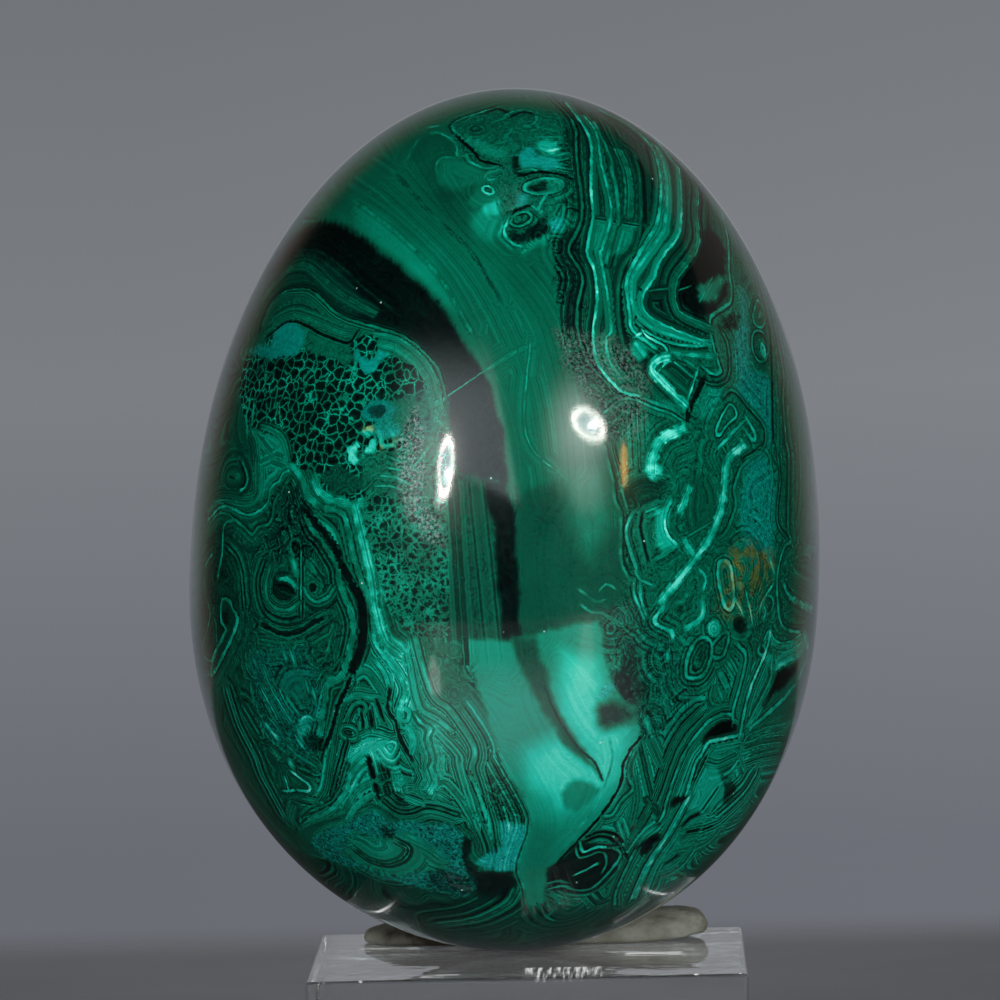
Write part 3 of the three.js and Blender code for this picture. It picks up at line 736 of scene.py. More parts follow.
# %% [markdown]
# ### The left side
# A pale vein branches down the middle of the left side, with a black layer beside it. Left of
# it, in dark stone, lie two round growths like eyes, and the outermost layers wave along the rim.
# %% Shoulder and honeycomb
vein("shoulder wave", 0.34, 5, [(262, 300), (276, 281), (290, 268), (302, 264), (313, 268), (339, 292),
    (376, 313)], left=0.16, right=0.05, reach=10, echo=0.7)
vein("shoulder wave, faint", 0.12, 3, [(300, 250), (320, 252), (342, 268), (366, 290), (390, 308)],
    echo=0.3)
vein("roof line", 0.46, 2.6, [(262, 325), (270, 306), (280, 295), (292, 290), (313, 292), (343, 317),
    (400, 335), (431, 360), (441, 377), (446, 396)], left=0.3, right=0.03, reach=10, echo=0.6)
vein("roof line's lower twin", 0.42, 3.5, [(276, 322), (288, 316), (302, 317), (337, 331), (352, 334)],
    left=0.3, right=0.24, reach=6, echo=0.6)
vein("dark line on the comb", 0.02, 2.4, [(268, 336), (292, 321), (324, 335), (348, 343), (356, 334)],
    right=0.3, reach=4)
vein("comb lobe line", 0.5, 2, [(376, 333), (398, 338), (416, 350), (430, 366), (438, 384), (442, 404)],
    left=0.42, right=0.1, reach=6, echo=0.7)
patch("blue on the comb, left", [(268, 350), (272, 336), (280, 326), (292, 322), (302, 328), (303, 342),
    (296, 354), (284, 358)], soft=2.5, tone=0.52, blue=0.9, crumbs=0.3, comb=0)
patch("blue on the comb, outer", [(246, 352), (262, 345), (272, 346), (284, 352), (280, 358), (258, 358)],
    soft=2.5, tone=0.48, blue=0.8, crumbs=0.35, comb=0)
patch("blue on the comb, middle", [(354, 346), (360, 356), (370, 360), (380, 350), (390, 354), (378, 362),
    (374, 370), (366, 376), (358, 366)], soft=2, tone=0.6, blue=0.9, crumbs=0.35, comb=0)
patch("blue ring in the comb", oval((378, 411), (19, 11), -5), soft=3, tone=0.46, blue=0.8, crumbs=0.4,
    comb=0.1)
ring("eye in the comb", 0.2, 5, (377, 411), (7, 3.5), left=0.02, reach=10)
patch("blue below the ring", oval((386, 430), (16, 9)), soft=4, tone=0.5, blue=0.6, crumbs=0.5, comb=0.1)
patch("worm, left", [(356, 441), (361, 444), (357, 452), (358, 461), (353, 466), (349, 460), (349, 450)],
    soft=1.2, tone=0.88, blue=0.3, comb=0)
patch("worm, right", [(370, 440), (375, 437), (376, 449), (361, 459)], soft=1.2, tone=0.82, blue=0.3,
    comb=0)
strokes("glints in the comb", 0.9, 4, [(391, 431), (393, 435)], [(364, 432), (368, 435)])
patch("clay bits in the comb", [(377, 431), (382, 430), (384, 442), (397, 441), (396, 446), (380, 449)],
    soft=1.5, tone=0.75, brown=1.0, comb=0)
patch("clay bit above", oval((369, 430), (5, 3)), soft=1.5, tone=0.8, brown=1.0, comb=0)
patch("comb basin", [(318, 474), (336, 462), (366, 478), (362, 490), (346, 497), (328, 491)], soft=4,
    tone=0.26, comb=0.3, crumbs=0.3)
strokes("threads below the comb", 0.62, 1.6, [(392, 458), (404, 462), (416, 458)], [(390, 468), (402, 470)],
    [(382, 476), (396, 478), (410, 484)], [(376, 486), (390, 486), (402, 490)], [(412, 470), (428, 448)])
vein("crescent", 0.65, 10, [(315, 480), (320, 492), (332, 500), (350, 503), (362, 502)], left=0.3,
    right=0.34, echo=0.3)
vein("main vein", 0.68, (10, 12), [(355, 505), (372, 580), (376, 610), (385, 640), (398, 652)], left=0.4,
    right=0.34, reach=6, echo=0.3)
vein("main vein, upper branch", 0.6, (5, 8), [(291, 466), (297, 471), (303, 482), (306, 494), (316, 504)],
    left=0.14, right=0.4, reach=6, echo=0.3)
vein("main vein, inner strand", 0.55, (6, 5), [(325, 508), (340, 512), (347, 525), (356, 565), (370, 605),
    (374, 630), (380, 648)], left=0.16, right=0.4, echo=0.3)
vein("light line by the black layer", 0.6, 4, [(309, 512), (330, 530), (337, 545), (346, 578)], left=0.03,
    right=0.3, echo=0.2)
vein("black layer", 0.03, (6, 10), [(303, 508), (335, 548), (340, 565), (360, 600), (362, 640), (352, 672)])
vein("speckled vein", 0.55, (5, 8), [(306, 516), (312, 530), (320, 538), (337, 566), (340, 585), (354, 625),
    (345, 670), (340, 679), (328, 684), (325, 700), (319, 735)], left=0.1, right=0.03, echo=0.3)
strokes("speckled vein's hook", 0.65, 2, [(342, 662), (346, 670), (341, 677), (328, 678)], [(322, 690),
    (317, 716)])

# %% Loops and eyes of the left side
strokes("left, bright strip", 0.55, 3, [(250, 402), (246, 416), (248, 432)], [(254, 404), (252, 424)])
vein("fan lobe of the left", 0.52, 2.2, [(262, 425), (275, 430), (285, 440), (291, 466)], left=0.36,
    right=0.12, reach=8, echo=0.6)
strokes("fan lobe, inner line", 0.56, 2, [(258, 440), (270, 455), (285, 462)], [(262, 461), (272, 456)])
vein("rim waves, first", 0.5, 2.8, [(250, 425), (257, 445), (259, 480), (256, 497), (245, 503), (228, 500),
    (216, 502), (208, 512)], left=0.14, right=0.34, reach=6, echo=0.7)
vein("rim waves, second", 0.66, 2.6, [(290, 469), (283, 474), (279, 481), (271, 488), (266, 505),
    (248, 515), (224, 506), (208, 520)], left=0.1, right=0.3, echo=0.4)
vein("rim waves, third", 0.5, 2.6, [(278, 495), (274, 502), (273, 515), (268, 524), (258, 527), (252, 535),
    (245, 528), (225, 513), (215, 517), (207, 530)], left=0.06, right=0.2, echo=0.3)
vein("rim hook", 0.72, 2.6, [(243, 463), (248, 478), (245, 487), (241, 490)], left=0.03, right=0.2, reach=6,
    echo=0.2)
ring("rim hook, inner loop", 0.45, 2, (234, 477), (6, 3.4), left=0.1, reach=10)
vein("rim loop, upper", 0.62, 3, [(231, 521), (224, 526), (222, 555), (218, 576)], left=0.3, right=0.06,
    echo=0.4)
vein("rim loop, long", 0.52, 2.4, [(212, 555), (206, 565), (205, 590), (210, 615), (203, 645), (203, 655),
    (210, 661), (216, 655), (216, 625), (213, 617)], left=0.14, right=0.1, reach=4, echo=0.4)
vein("rim island", 0.66, 3.6, [(222, 600), (229, 600), (233, 610), (237, 624), (217, 668), (211, 675),
    (214, 655), (226, 630), (221, 622)], closed=True, left=0.34, right=0.08, echo=0.2)
patch("rim island, hole", oval((225, 618), (3.5, 8)), soft=1.5, tone=0.03)
vein("rim tail", 0.44, 2.6, [(212, 678), (216, 725), (240, 770)], left=0.16, right=0.16, reach=6, echo=0.7)
vein("arc by the rim", 0.45, 2.8, [(227, 547), (236, 557), (241, 572), (244, 604)], left=0.12, right=0.1,
    reach=6, echo=0.6)
strokes("arc by the rim, inner", 0.4, 2, [(232, 560), (238, 575), (238, 590)])
patch("left eye, dark oval", oval((284, 588), (11, 13)), soft=3, tone=0.06, crumbs=0.1)
vein("left eye, comma", 0.76, 4.2, [(281, 579), (288, 579), (294, 585)])
vein("left eye, ring", 0.5, 3, [(270, 568), (266, 585), (268, 600), (276, 608), (288, 610), (298, 603)],
    left=0.2, right=0.1, reach=6, echo=0.7)
vein("left eye, outer ring", 0.38, 2.6, [(263, 563), (258, 580), (260, 600), (268, 615), (285, 622),
    (298, 620)], left=0.22, right=0.16, reach=8, echo=0.9)
strokes("left eye, cores", 0.56, 5, [(292, 557), (296, 571)], [(307, 563), (314, 571)])
vein("left eye, thin wall", 0.62, 1.5, [(301, 552), (301, 612)], left=0.1, right=0.1, reach=4, echo=0.3)
patch("second left eye", oval((316, 587), (15, 14)), soft=3, tone=0.28, bands=0.5)
ring("second left eye, heart", 0.06, 5, (313, 587), (2, 2))
vein("second left eye, ring", 0.5, 3, [(305, 590), (309, 598), (318, 602), (328, 597), (333, 590)],
    left=0.2, right=0.2, reach=6, echo=0.7)
vein("dark band below the eyes", 0.08, 5, [(262, 625), (290, 634), (322, 618)], left=0.24, right=0.2,
    reach=8, echo=0.8)
strokes("thin line below the eyes", 0.45, 1.5, [(262, 640), (285, 643), (300, 641)], [(270, 655),
    (290, 652)])
strokes("needles", 0.66, 1.8, [(283, 652), (286, 658)], [(290, 650), (295, 665)], [(265, 672), (272, 690),
    (290, 720)], [(287, 697), (297, 712)], [(268, 725), (276, 735)], [(245, 710), (258, 732)], [(254, 660),
    (256, 665)], [(262, 690), (276, 716)], [(306, 682), (308, 690)], [(313, 690), (315, 698)], [(280, 690),
    (284, 700), (292, 712)])
vein("blue streak", 0.8, (3, 6), [(266, 724), (277, 738)], left=0.3, right=0.1, reach=4)
patch("faint disc", [(283, 680), (288, 673), (304, 672), (308, 684), (304, 698), (288, 698), (282, 690)],
    soft=3, tone=0.38, bands=0.2, crumbs=0.2)
vein("faint disc, rim", 0.45, 2, [(282, 684), (286, 676), (294, 672), (306, 673)], echo=0.5)
patch("mint drop", [(304, 716), (310, 717), (311, 728), (300, 746), (298, 726)], soft=2, tone=0.58)
vein("mint drop, crown", 0.85, 2, [(302, 719), (306, 716), (311, 718)])
patch("dark right of the drop", oval((316, 742), (9, 11)), soft=3, tone=0.1)
strokes("frayed bits of the vein", 0.8, 2.6, [(376, 640), (379, 650), (386, 656)], [(384, 658), (392, 666),
    (394, 672)], [(378, 664), (384, 672), (388, 684)])

# %% Marbling of the lower left
vein("rope", 0.84, (4, 7), [(374, 636), (379, 650), (390, 662), (405, 688), (399, 712), (400, 721)],
    left=0.4, right=0.55, reach=8, echo=0.9)
ring("rope's hook", 0.74, 2.4, (404, 715), (4.5, 6), left=0.3, reach=10)
vein("rope, U turn", 0.7, 3.4, [(399, 723), (408, 730), (413, 740), (411, 750)], left=0.36, right=0.4,
    echo=0.6)
vein("rope, right strand", 0.8, (2.5, 5), [(416, 716), (422, 724), (431, 729), (427, 738), (433, 758),
    (431, 768), (436, 780), (430, 792)], left=0.44, right=0.5, reach=6, echo=0.8)
vein("smooth line by the lens", 0.62, 2, [(408, 655), (417, 700), (424, 712), (436, 718), (448, 728)],
    left=0.5, right=0.44, reach=8, echo=0.9)
vein("line round the pitted lens", 0.66, 2.6, [(416, 640), (427, 681), (436, 699), (451, 711), (472, 742),
    (475, 756), (472, 767), (476, 783), (488, 819), (491, 838)], left=0.46, right=0.34, reach=7, echo=0.8)
vein("marbling, second", 0.5, 2, [(440, 735), (459, 756), (460, 768), (478, 826)], left=0.3, right=0.34,
    reach=6, echo=0.9)
vein("marbling, third", 0.55, 3, [(440, 783), (447, 783), (464, 803), (470, 814)], left=0.26, right=0.3,
    reach=6, echo=0.9)
vein("strand to the tongue", 0.66, 4, [(471, 776), (482, 802), (486, 818)], left=0.3, right=0.2, echo=0.4)
vein("stripes by the tongue", 0.4, 2, [(478, 812), (490, 842), (492, 852)], left=0.2, right=0.2, reach=10,
    echo=0.9)
vein("tongue, left edge", 0.56, 2, [(499, 758), (521, 797), (529, 815), (529, 832), (518, 866), (524, 888),
    (526, 903)], left=0.08, reach=4, echo=0.2)
vein("arch, outer", 0.56, 2.4, [(336, 716), (342, 703), (350, 697), (362, 696), (386, 700)], left=0.34,
    right=0.4, reach=6, echo=0.8)
vein("arch, inner", 0.52, 2, [(348, 716), (353, 706), (361, 702), (366, 707), (362, 718)], left=0.2,
    right=0.36, echo=0.6)
strokes("slits under the arch", 0.06, 3, [(362, 714), (363, 726)], [(370, 712), (372, 726)], [(378, 704),
    (382, 716)])
ring("small eye of the marbling", 0.62, 2.2, (349, 733), (9, 6), 15, left=0.06, right=0.3, reach=4)
vein("waves above the lump", 0.55, 2.2, [(358, 735), (368, 731), (380, 732), (392, 736), (402, 732)],
    left=0.4, right=0.1, echo=0.8)
vein("upper flow", 0.55, 3, [(352, 676), (362, 670), (372, 676), (388, 700)], left=0.36, right=0.4, reach=8,
    echo=0.9)
vein("dark flow", 0.12, 4, [(390, 690), (388, 710), (396, 722), (400, 738), (412, 760)], left=0.4,
    right=0.4, reach=8, echo=0.9)
vein("lump, triangle", 0.85, 1.6, [(383, 744), (394, 742), (396, 746), (391, 755), (384, 747)], left=0.45,
    reach=3)
vein("fold fan, first", 0.64, 4.5, [(367, 757), (352, 772), (345, 793), (328, 812), (311, 819)], left=0.3,
    right=0.3, echo=0.8)
vein("fold fan, thread", 0.78, 1.8, [(370, 766), (361, 772), (343, 803)])
vein("fold fan, third", 0.56, 6, [(377, 780), (359, 790), (346, 809)], left=0.24, right=0.14, reach=4,
    echo=0.6)
vein("fold fan, fourth", 0.6, 4, [(377, 794), (368, 797), (355, 808), (349, 818)], left=0.4, right=0.14,
    reach=4, echo=0.6)
vein("fold fan, outer", 0.48, 2.2, [(348, 764), (335, 798), (312, 811), (304, 818)], left=0.2, right=0.2,
    reach=6, echo=0.9)
vein("fold fan, right wing", 0.42, 2.4, [(378, 796), (396, 810), (410, 812), (424, 807), (438, 808),
    (456, 814)], left=0.1, right=0.16, reach=6, echo=0.9)
strokes("right wing, upper line", 0.5, 2, [(428, 792), (440, 793), (448, 798)], [(410, 800), (420, 804)])
vein("dark slit", 0.02, (6, 3), [(368, 758), (379, 798)])
vein("hanging lines, first", 0.42, 2.4, [(350, 690), (340, 712), (331, 765), (327, 790), (316, 806)],
    left=0.26, right=0.16, reach=6, echo=0.9)
vein("hanging lines, second", 0.45, 2.2, [(346, 742), (332, 794)], left=0.26, right=0.2, reach=6, echo=0.9)
vein("dark band of the wall", 0.05, 5, [(352, 672), (346, 690), (338, 706), (332, 730), (326, 745)])
vein("rim band, first", 0.46, 4, [(228, 690), (239, 724), (256, 758), (262, 775), (284, 816)], left=0.24,
    right=0.12, reach=8, echo=0.9)
vein("rim band, second", 0.4, 3, [(212, 735), (226, 762), (266, 816), (290, 842)], left=0.26, right=0.2,
    reach=9, echo=0.9)
vein("bright hook", 0.96, 3, [(292, 772), (310, 786), (308, 791), (298, 790)], left=0.04, right=0.1,
    reach=4)
strokes("hook's spurs", 0.86, 2.8, [(284, 791), (294, 790)], [(285, 778), (289, 790)])
strokes("bright bits by the hook", 0.72, 4.5, [(290, 762), (293, 766)], [(275, 754), (278, 757)],
    [(298, 740), (302, 746)])
strokes("threads by the hook", 0.5, 2, [(287, 745), (296, 754), (316, 767)], [(300, 768), (308, 771)],
    [(300, 798), (318, 802)], [(292, 806), (290, 816), (294, 824)])
vein("lens, light stripe", 0.56, 4, [(398, 831), (428, 845), (444, 856)], left=0.34, right=0.34, reach=6,
    echo=0.9)
vein("lens, dark arc", 0.24, 3, [(398, 842), (408, 848), (404, 858), (388, 864), (370, 860), (356, 850)],
    left=0.46, right=0.3, reach=8, echo=0.9)
patch("lens, light heart", oval((382, 848), (16, 8)), soft=6, tone=0.48)
vein("lens, upper line", 0.4, 2, [(304, 838), (312, 828), (356, 813), (374, 806), (396, 820)], left=0.2,
    right=0.1, reach=4, echo=0.7)
vein("line at the foot", 0.46, (2, 5), [(440, 925), (478, 919), (508, 904), (517, 890)], left=0.16,
    right=0.24, reach=8, echo=0.9)
strokes("scratches", 0.55, 0.8, [(440, 401), (505, 358), (530, 346)], [(530, 346), (524, 410), (528, 440),
    (540, 458), (550, 466)], [(637, 410), (640, 467)], [(352, 497), (362, 492), (370, 484)])
print("veins", len(veins), "patches", len(patches))

# %% [markdown]
# ## From the drawing to the mesh
# The areas become numbers on the vertices. A line needs more care: it is finer than a face. So
# each face finds its nearest line, and its four corners keep their signed distance from that
# one line. Inside a face the distance runs evenly, and the shader can draw a line of any width.
# An area's outline wavers by a noise, which starts from the clock unless it is given a seed.
# %% Areas onto the vertices
AREA_VALUES = ("tone", "blue", "crumbs", "comb", "fine_comb", "brown", "bands", "pores")
STONE_ITSELF = dict(
    tone=0.28, blue=0.0, crumbs=0.15, comb=0.0, fine_comb=0.0, brown=0.0, bands=0.5, pores=0.0,
)
WAVER = 3.2
WAVER_SEED = 3

noise.seed_set(WAVER_SEED)
wander = np.array([
    noise.noise_vector(Vector(p) * 0.55) + 0.6 * noise.noise_vector(Vector(p) * 1.6) for p in drawn_points
])
area_pixels = drawn_pixels + wander[:, [0, 2]] * WAVER


def inside_by(pixels, outline):
    """How far inside an outline each pixel lies: negative outside."""
    start = np.array(outline, float)
    end = np.roll(start, -1, 0)
    along = end - start
    nearest = np.full(len(pixels), 1e9)
    crossings = np.zeros(len(pixels), int)
    for a, b, step in zip(start, end, along):
        offset = pixels - a
        share = np.clip((offset @ step) / max(step @ step, 1e-9), 0, 1)
        nearest = np.minimum(nearest, ((offset - share[:, None] * step) ** 2).sum(1))
        crosses = (a[1] > pixels[:, 1]) != (b[1] > pixels[:, 1])
        edge_x = a[0] + (pixels[:, 1] - a[1]) * step[0] / (step[1] if step[1] else 1e-9)
        crossings += crosses & (pixels[:, 0] < edge_x)
    return np.where(crossings % 2 == 1, 1, -1) * np.sqrt(nearest)


def eased(share):
    """0 to 1 with soft ends."""
    share = np.clip(share, 0, 1)
    return share * share * (3 - 2 * share)


area = {name: np.full(len(drawn_pixels), STONE_ITSELF[name]) for name in AREA_VALUES}
for item in patches:
    cover = eased(0.5 + inside_by(area_pixels, item["outline"]) / (2 * item["soft"]))
    for name, value in item["values"].items():
        area[name] += cover * (value - area[name])
for name in AREA_VALUES:
    layer = egg_mesh.attributes.new(name, "FLOAT", "POINT")
    layer.data.foreach_set("value", area[name].astype(np.float32))
print("areas drawn:", len(patches))

# %% Lines onto the face corners
VEIN_REACH = 5.0
END_TAPER = 0.35
PIXELS_PER_STEP = 4.0
PAIRS_AT_ONCE = 400000
SEED_STEP = 7.31
BEFORE_THE_START, PAST_THE_END = -3.0, 4.0


def smooth_line(points, closed):
    """A curve through the drawn points, with a point about every few pixels."""
    path = np.array(points, float)
    if closed:
        path = np.concatenate([path[-1:], path, path[:2]])
    else:
        path = np.concatenate([2 * path[:1] - path[1:2], path, 2 * path[-1:] - path[-2:-1]])
    pieces = []
    for p0, p1, p2, p3 in zip(path[:-3], path[1:-2], path[2:-1], path[3:]):
        count = max(2, round(float(np.hypot(*(p2 - p1))) / PIXELS_PER_STEP))
        t = np.arange(count)[:, None] / count
        pieces.append(0.5 * (
            2 * p1 + (p2 - p0) * t + (2 * p0 - 5 * p1 + 4 * p2 - p3) * t ** 2
            + (3 * p1 - p0 - 3 * p2 + p3) * t ** 3
        ))
    pieces.append(path[-2:-1])
    return np.concatenate(pieces)


def vein_on_stone(item):
    """The line's points on the stone and the stone's normals there."""
    seen = [on_stone(x, y) for x, y in smooth_line(item["points"], item["closed"])]
    seen = [s for s in seen if s]
    return np.array([s[0] for s in seen]), np.array([s[1] for s in seen])


corner_count = len(egg_mesh.loops)
corner_vertices = np.empty(corner_count, int)
egg_mesh.loops.foreach_get("vertex_index", corner_vertices)
face_vertices = corner_vertices.reshape(-1, 4)
best = np.full(len(face_vertices), VEIN_REACH)
chosen = np.full(len(face_vertices), -1)
sides = np.full((len(veins), len(drawn_points)), VEIN_REACH, np.float32)
strengths = np.zeros((len(veins), len(drawn_points)), np.float32)
shares = np.zeros((len(veins), len(drawn_points)), np.float32)

for number, item in enumerate(veins):
    line, line_normals = vein_on_stone(item)
    if len(line) < 2:
        continue
    near = np.where(np.all(
        (drawn_points > line.min(0) - VEIN_REACH) & (drawn_points < line.max(0) + VEIN_REACH), axis=1
    ))[0]
    start, step = line[:-1], line[1:] - line[:-1]
    squared = np.maximum((step ** 2).sum(1), 1e-9)
    lengths = np.sqrt(squared)
    run = np.concatenate([[0], np.cumsum(lengths)])
    for chunk in np.array_split(near, max(1, len(near) * len(start) // PAIRS_AT_ONCE)):
        offset = drawn_points[chunk][:, None] - start[None]
        t = (offset * step).sum(2) / squared
        low, high = np.zeros(len(start)), np.ones(len(start))
        if not item["closed"]:
            low[0], high[-1] = BEFORE_THE_START, PAST_THE_END
        t = np.clip(t, low, high)
        foot = offset - t[..., None] * step
        past = (np.maximum(-t, 0) + np.maximum(t - 1, 0)) * lengths
        distance = np.sqrt((foot ** 2).sum(2))
        pick = (distance + past).argmin(1)
        row = np.arange(len(chunk))
        foot, step_there = foot[row, pick], step[pick]
        sign = -np.sign((np.cross(step_there, foot) * line_normals[pick]).sum(1))
        sides[number, chunk] = np.minimum(distance[row, pick], VEIN_REACH) * np.where(sign == 0, 1, sign)
        strengths[number, chunk] = 1 - eased(past[row, pick] / END_TAPER)
        shares[number, chunk] = np.clip((run[pick] + t[row, pick] * lengths[pick]) / run[-1], 0, 1)
    widest = max(item["width"]) / 2 / PIXELS_PER_MM
    measure = np.abs(sides[number][face_vertices]).mean(1) - widest
    measure = np.where(strengths[number][face_vertices].max(1) > 0, measure, VEIN_REACH)
    nearer = measure < best
    best[nearer] = measure[nearer]
    chosen[nearer] = number

corner_vein = np.repeat(chosen, 4)
has_vein = corner_vein >= 0
picked = np.where(has_vein, corner_vein, 0)


def of_veins(value):
    """One number for every line, as each corner's line has it."""
    return np.array([value(item) for item in veins])[picked]


corner_share = shares[picked, corner_vertices]
start_width = of_veins(lambda v: v["width"][0])
end_width = of_veins(lambda v: v["width"][1])
corner_values = {
    "vein_side": np.where(has_vein, sides[picked, corner_vertices], VEIN_REACH),
    "vein_strength": np.where(has_vein, strengths[picked, corner_vertices], 0),
    "vein_half_width": (start_width + (end_width - start_width) * corner_share) / 2 / PIXELS_PER_MM,
    "vein_tone": of_veins(lambda v: v["tone"]),
    "vein_left": of_veins(lambda v: v["left"] if v["left"] is not None else 0),
    "vein_right": of_veins(lambda v: v["right"] if v["right"] is not None else 0),
    "vein_left_reach": of_veins(lambda v: v["reach"] / PIXELS_PER_MM if v["left"] is not None else 0),
    "vein_right_reach": of_veins(lambda v: v["reach"] / PIXELS_PER_MM if v["right"] is not None else 0),
    "vein_echo": of_veins(lambda v: v["echo"]),
    "vein_seed": picked * SEED_STEP,
}
for name, value in corner_values.items():
    layer = egg_mesh.attributes.new(name, "FLOAT", "CORNER")
    layer.data.foreach_set("value", np.asarray(value, np.float32))
print("faces with a line near:", int((chosen >= 0).sum()), "of", len(chosen))

# %% [markdown]
# ## Helpers for materials
# A material is a small graph of nodes. These helpers keep its recipe readable: one makes a node
# and joins its inputs, one does arithmetic, and one maps a range with soft ends.
# %% Node helpers


def new_material(name):
    """An empty node material: its node tree and its Principled shader."""
    made = bpy.data.materials.new(name)
    made.use_nodes = True
    tree = made.node_tree
    tree.nodes.clear()
    out = tree.nodes.new("ShaderNodeOutputMaterial")
    shader = tree.nodes.new("ShaderNodeBsdfPrincipled")
    tree.links.new(shader.outputs["BSDF"], out.inputs["Surface"])
    return made, tree, shader


def feed(tree, socket, value):
    """Sets a socket, or links it if the value is another node's output."""
    if isinstance(value, bpy.types.NodeSocket):
        tree.links.new(value, socket)
    elif value is not None:
        socket.default_value = value


def node(tree, kind, inputs=None, **settings):
    """A new node with its settings and inputs."""
    made = tree.nodes.new("ShaderNode" + kind)
    for name, value in settings.items():
        setattr(made, name, value)
    for name, value in (inputs or {}).items():
        feed(tree, made.inputs[name], value)
    return made


def sums(tree, operation, a, b=None, c=None):
    """Arithmetic on one, two or three numbers."""
    made = node(tree, "Math", operation=operation)
    for socket, value in zip(made.inputs, (a, b, c)):
        feed(tree, socket, value)
    return made.outputs[0]


def times(tree, a, b):
    """Two numbers multiplied."""
    return sums(tree, "MULTIPLY", a, b)


def eases(tree, value, low, high, to_low=0.0, to_high=1.0, shape="SMOOTHSTEP"):
    """Maps low..high to to_low..to_high, clamped."""
    made = node(tree, "MapRange", {
        "Value": value, "From Min": low, "From Max": high, "To Min": to_low, "To Max": to_high,
    }, interpolation_type=shape)
    return made.outputs["Result"]


def blends(tree, share, a, b):
    """A number between a and b."""
    made = node(tree, "Mix", data_type="FLOAT")
    feed(tree, made.inputs[0], share)
    feed(tree, made.inputs[2], a)
    feed(tree, made.inputs[3], b)
    return made.outputs[0]


def blends_colour(tree, share, a, b):
    """A colour between a and b."""
    made = node(tree, "Mix", data_type="RGBA")
    feed(tree, made.inputs[0], share)
    feed(tree, made.inputs[6], a)
    feed(tree, made.inputs[7], b)
    return made.outputs[2]


def ramp(tree, value, stops):
    """A colour ramp: stops are (place, colour or grey level)."""
    made = node(tree, "ValToRGB", {"Fac": value})
    elements = made.color_ramp.elements
    while len(elements) < len(stops):
        elements.new(0.5)
    for element, (place, colour) in zip(elements, stops):
        element.position = place
        element.color = colour if isinstance(colour, tuple) else (colour, colour, colour, 1)
    return made.outputs["Color"]


def from_screen(red, green, blue):
    """A colour as a screen shows it, 0 to 255, as the light that it stands for."""
    levels = [v / 255 for v in (red, green, blue)]
    return (*[v / 12.92 if v < 0.04045 else ((v + 0.055) / 1.055) ** 2.4 for v in levels], 1)


def grain(tree, place, scale, detail=2.0, roughness=0.5, distortion=0.0, dimensions="3D"):
    """A noise texture's value, about 0.5 in the mean."""
    made = node(tree, "TexNoise", {
        "Scale": scale, "Detail": detail, "Roughness": roughness, "Distortion": distortion,
    }, noise_dimensions=dimensions)
    feed(tree, made.inputs["W" if dimensions == "1D" else "Vector"], place)
    return made.outputs["Fac"]


def place_in_mm(tree):
    """The piece's own coordinates, in millimetres."""
    place = node(tree, "TexCoord").outputs["Object"]
    return node(tree, "Mapping", {"Vector": place, "Scale": (1 / MM, 1 / MM, 1 / MM)}).outputs["Vector"]


def read(tree, name):
    """A number kept on the mesh."""
    return node(tree, "Attribute", attribute_name=name, attribute_type="GEOMETRY").outputs["Fac"]


# %% [markdown]
# ## The malachite
# All the green is copper, and how dark it is depends only on the size of its crystals: coarse
# layers are nearly black and the finest are pale mint. So the stone's colour is one number, the
# tone, and one ramp of greens. Blue-green chrysocolla has a ramp of its own. The tone is built
# up in the order in which the eye reads it: area, fine bands, honeycomb, crumbs, and the lines.
# %% Tone from areas, bands, honeycomb and crumbs
malachite, stone, stone_shader = new_material("polished_malachite")
in_mm = place_in_mm(stone)

wobble = sums(stone, "SUBTRACT", grain(stone, in_mm, 0.9, 3.0), 0.5)
shiver = sums(stone, "SUBTRACT", grain(stone, in_mm, 5.0, 2.0), 0.5)
side = sums(stone, "MULTIPLY_ADD", wobble, 0.18, read(stone, "vein_side"))
side = sums(stone, "MULTIPLY_ADD", shiver, 0.08, side)
from_line = sums(stone, "ABSOLUTE", side)
strength = read(stone, "vein_strength")

drift = sums(stone, "SUBTRACT", grain(stone, in_mm, 0.22, 4.0), 0.5)
tone = sums(stone, "MULTIPLY_ADD", drift, 0.12, read(stone, "tone"))

slow_field = grain(stone, in_mm, 0.07, 2.0, 0.4, 0.6)
near_line = eases(stone, from_line, 2.2, 4.4, 1.0, 0.0)
line_place = sums(stone, "MULTIPLY_ADD", from_line, 1.5, read(stone, "vein_seed"))
line_bands = grain(stone, line_place, 1.5, 4.0, 0.8, dimensions="1D")
field_bands = grain(stone, times(stone, slow_field, 90.0), 1.0, 3.0, 0.7, dimensions="1D")
band_noise = blends(stone, near_line, field_bands, line_bands)
fine_bands = eases(stone, band_noise, 0.34, 0.64, -0.55, 0.75, "LINEAR")
band_gain = times(stone, read(stone, "bands"), 0.6)
tone = sums(stone, "MULTIPLY_ADD", fine_bands, band_gain, tone)

# %% Honeycomb and crumbs
bent = node(stone, "VectorMath", {0: in_mm}, operation="ADD")
pushed = node(stone, "TexNoise", {"Vector": in_mm, "Scale": 1.0, "Detail": 4.0, "Roughness": 0.6})
feed(stone, bent.inputs[1], node(stone, "VectorMath", {
    0: pushed.outputs["Color"], 1: (0.9, 0.9, 0.9),
}, operation="MULTIPLY").outputs[0])


def cells(scale, place=bent.outputs[0]):
    """The distance from the walls of a honeycomb."""
    made = node(stone, "TexVoronoi", {
        "Vector": place, "Scale": scale, "Randomness": 0.85,
    }, feature="DISTANCE_TO_EDGE")
    return made.outputs["Distance"]


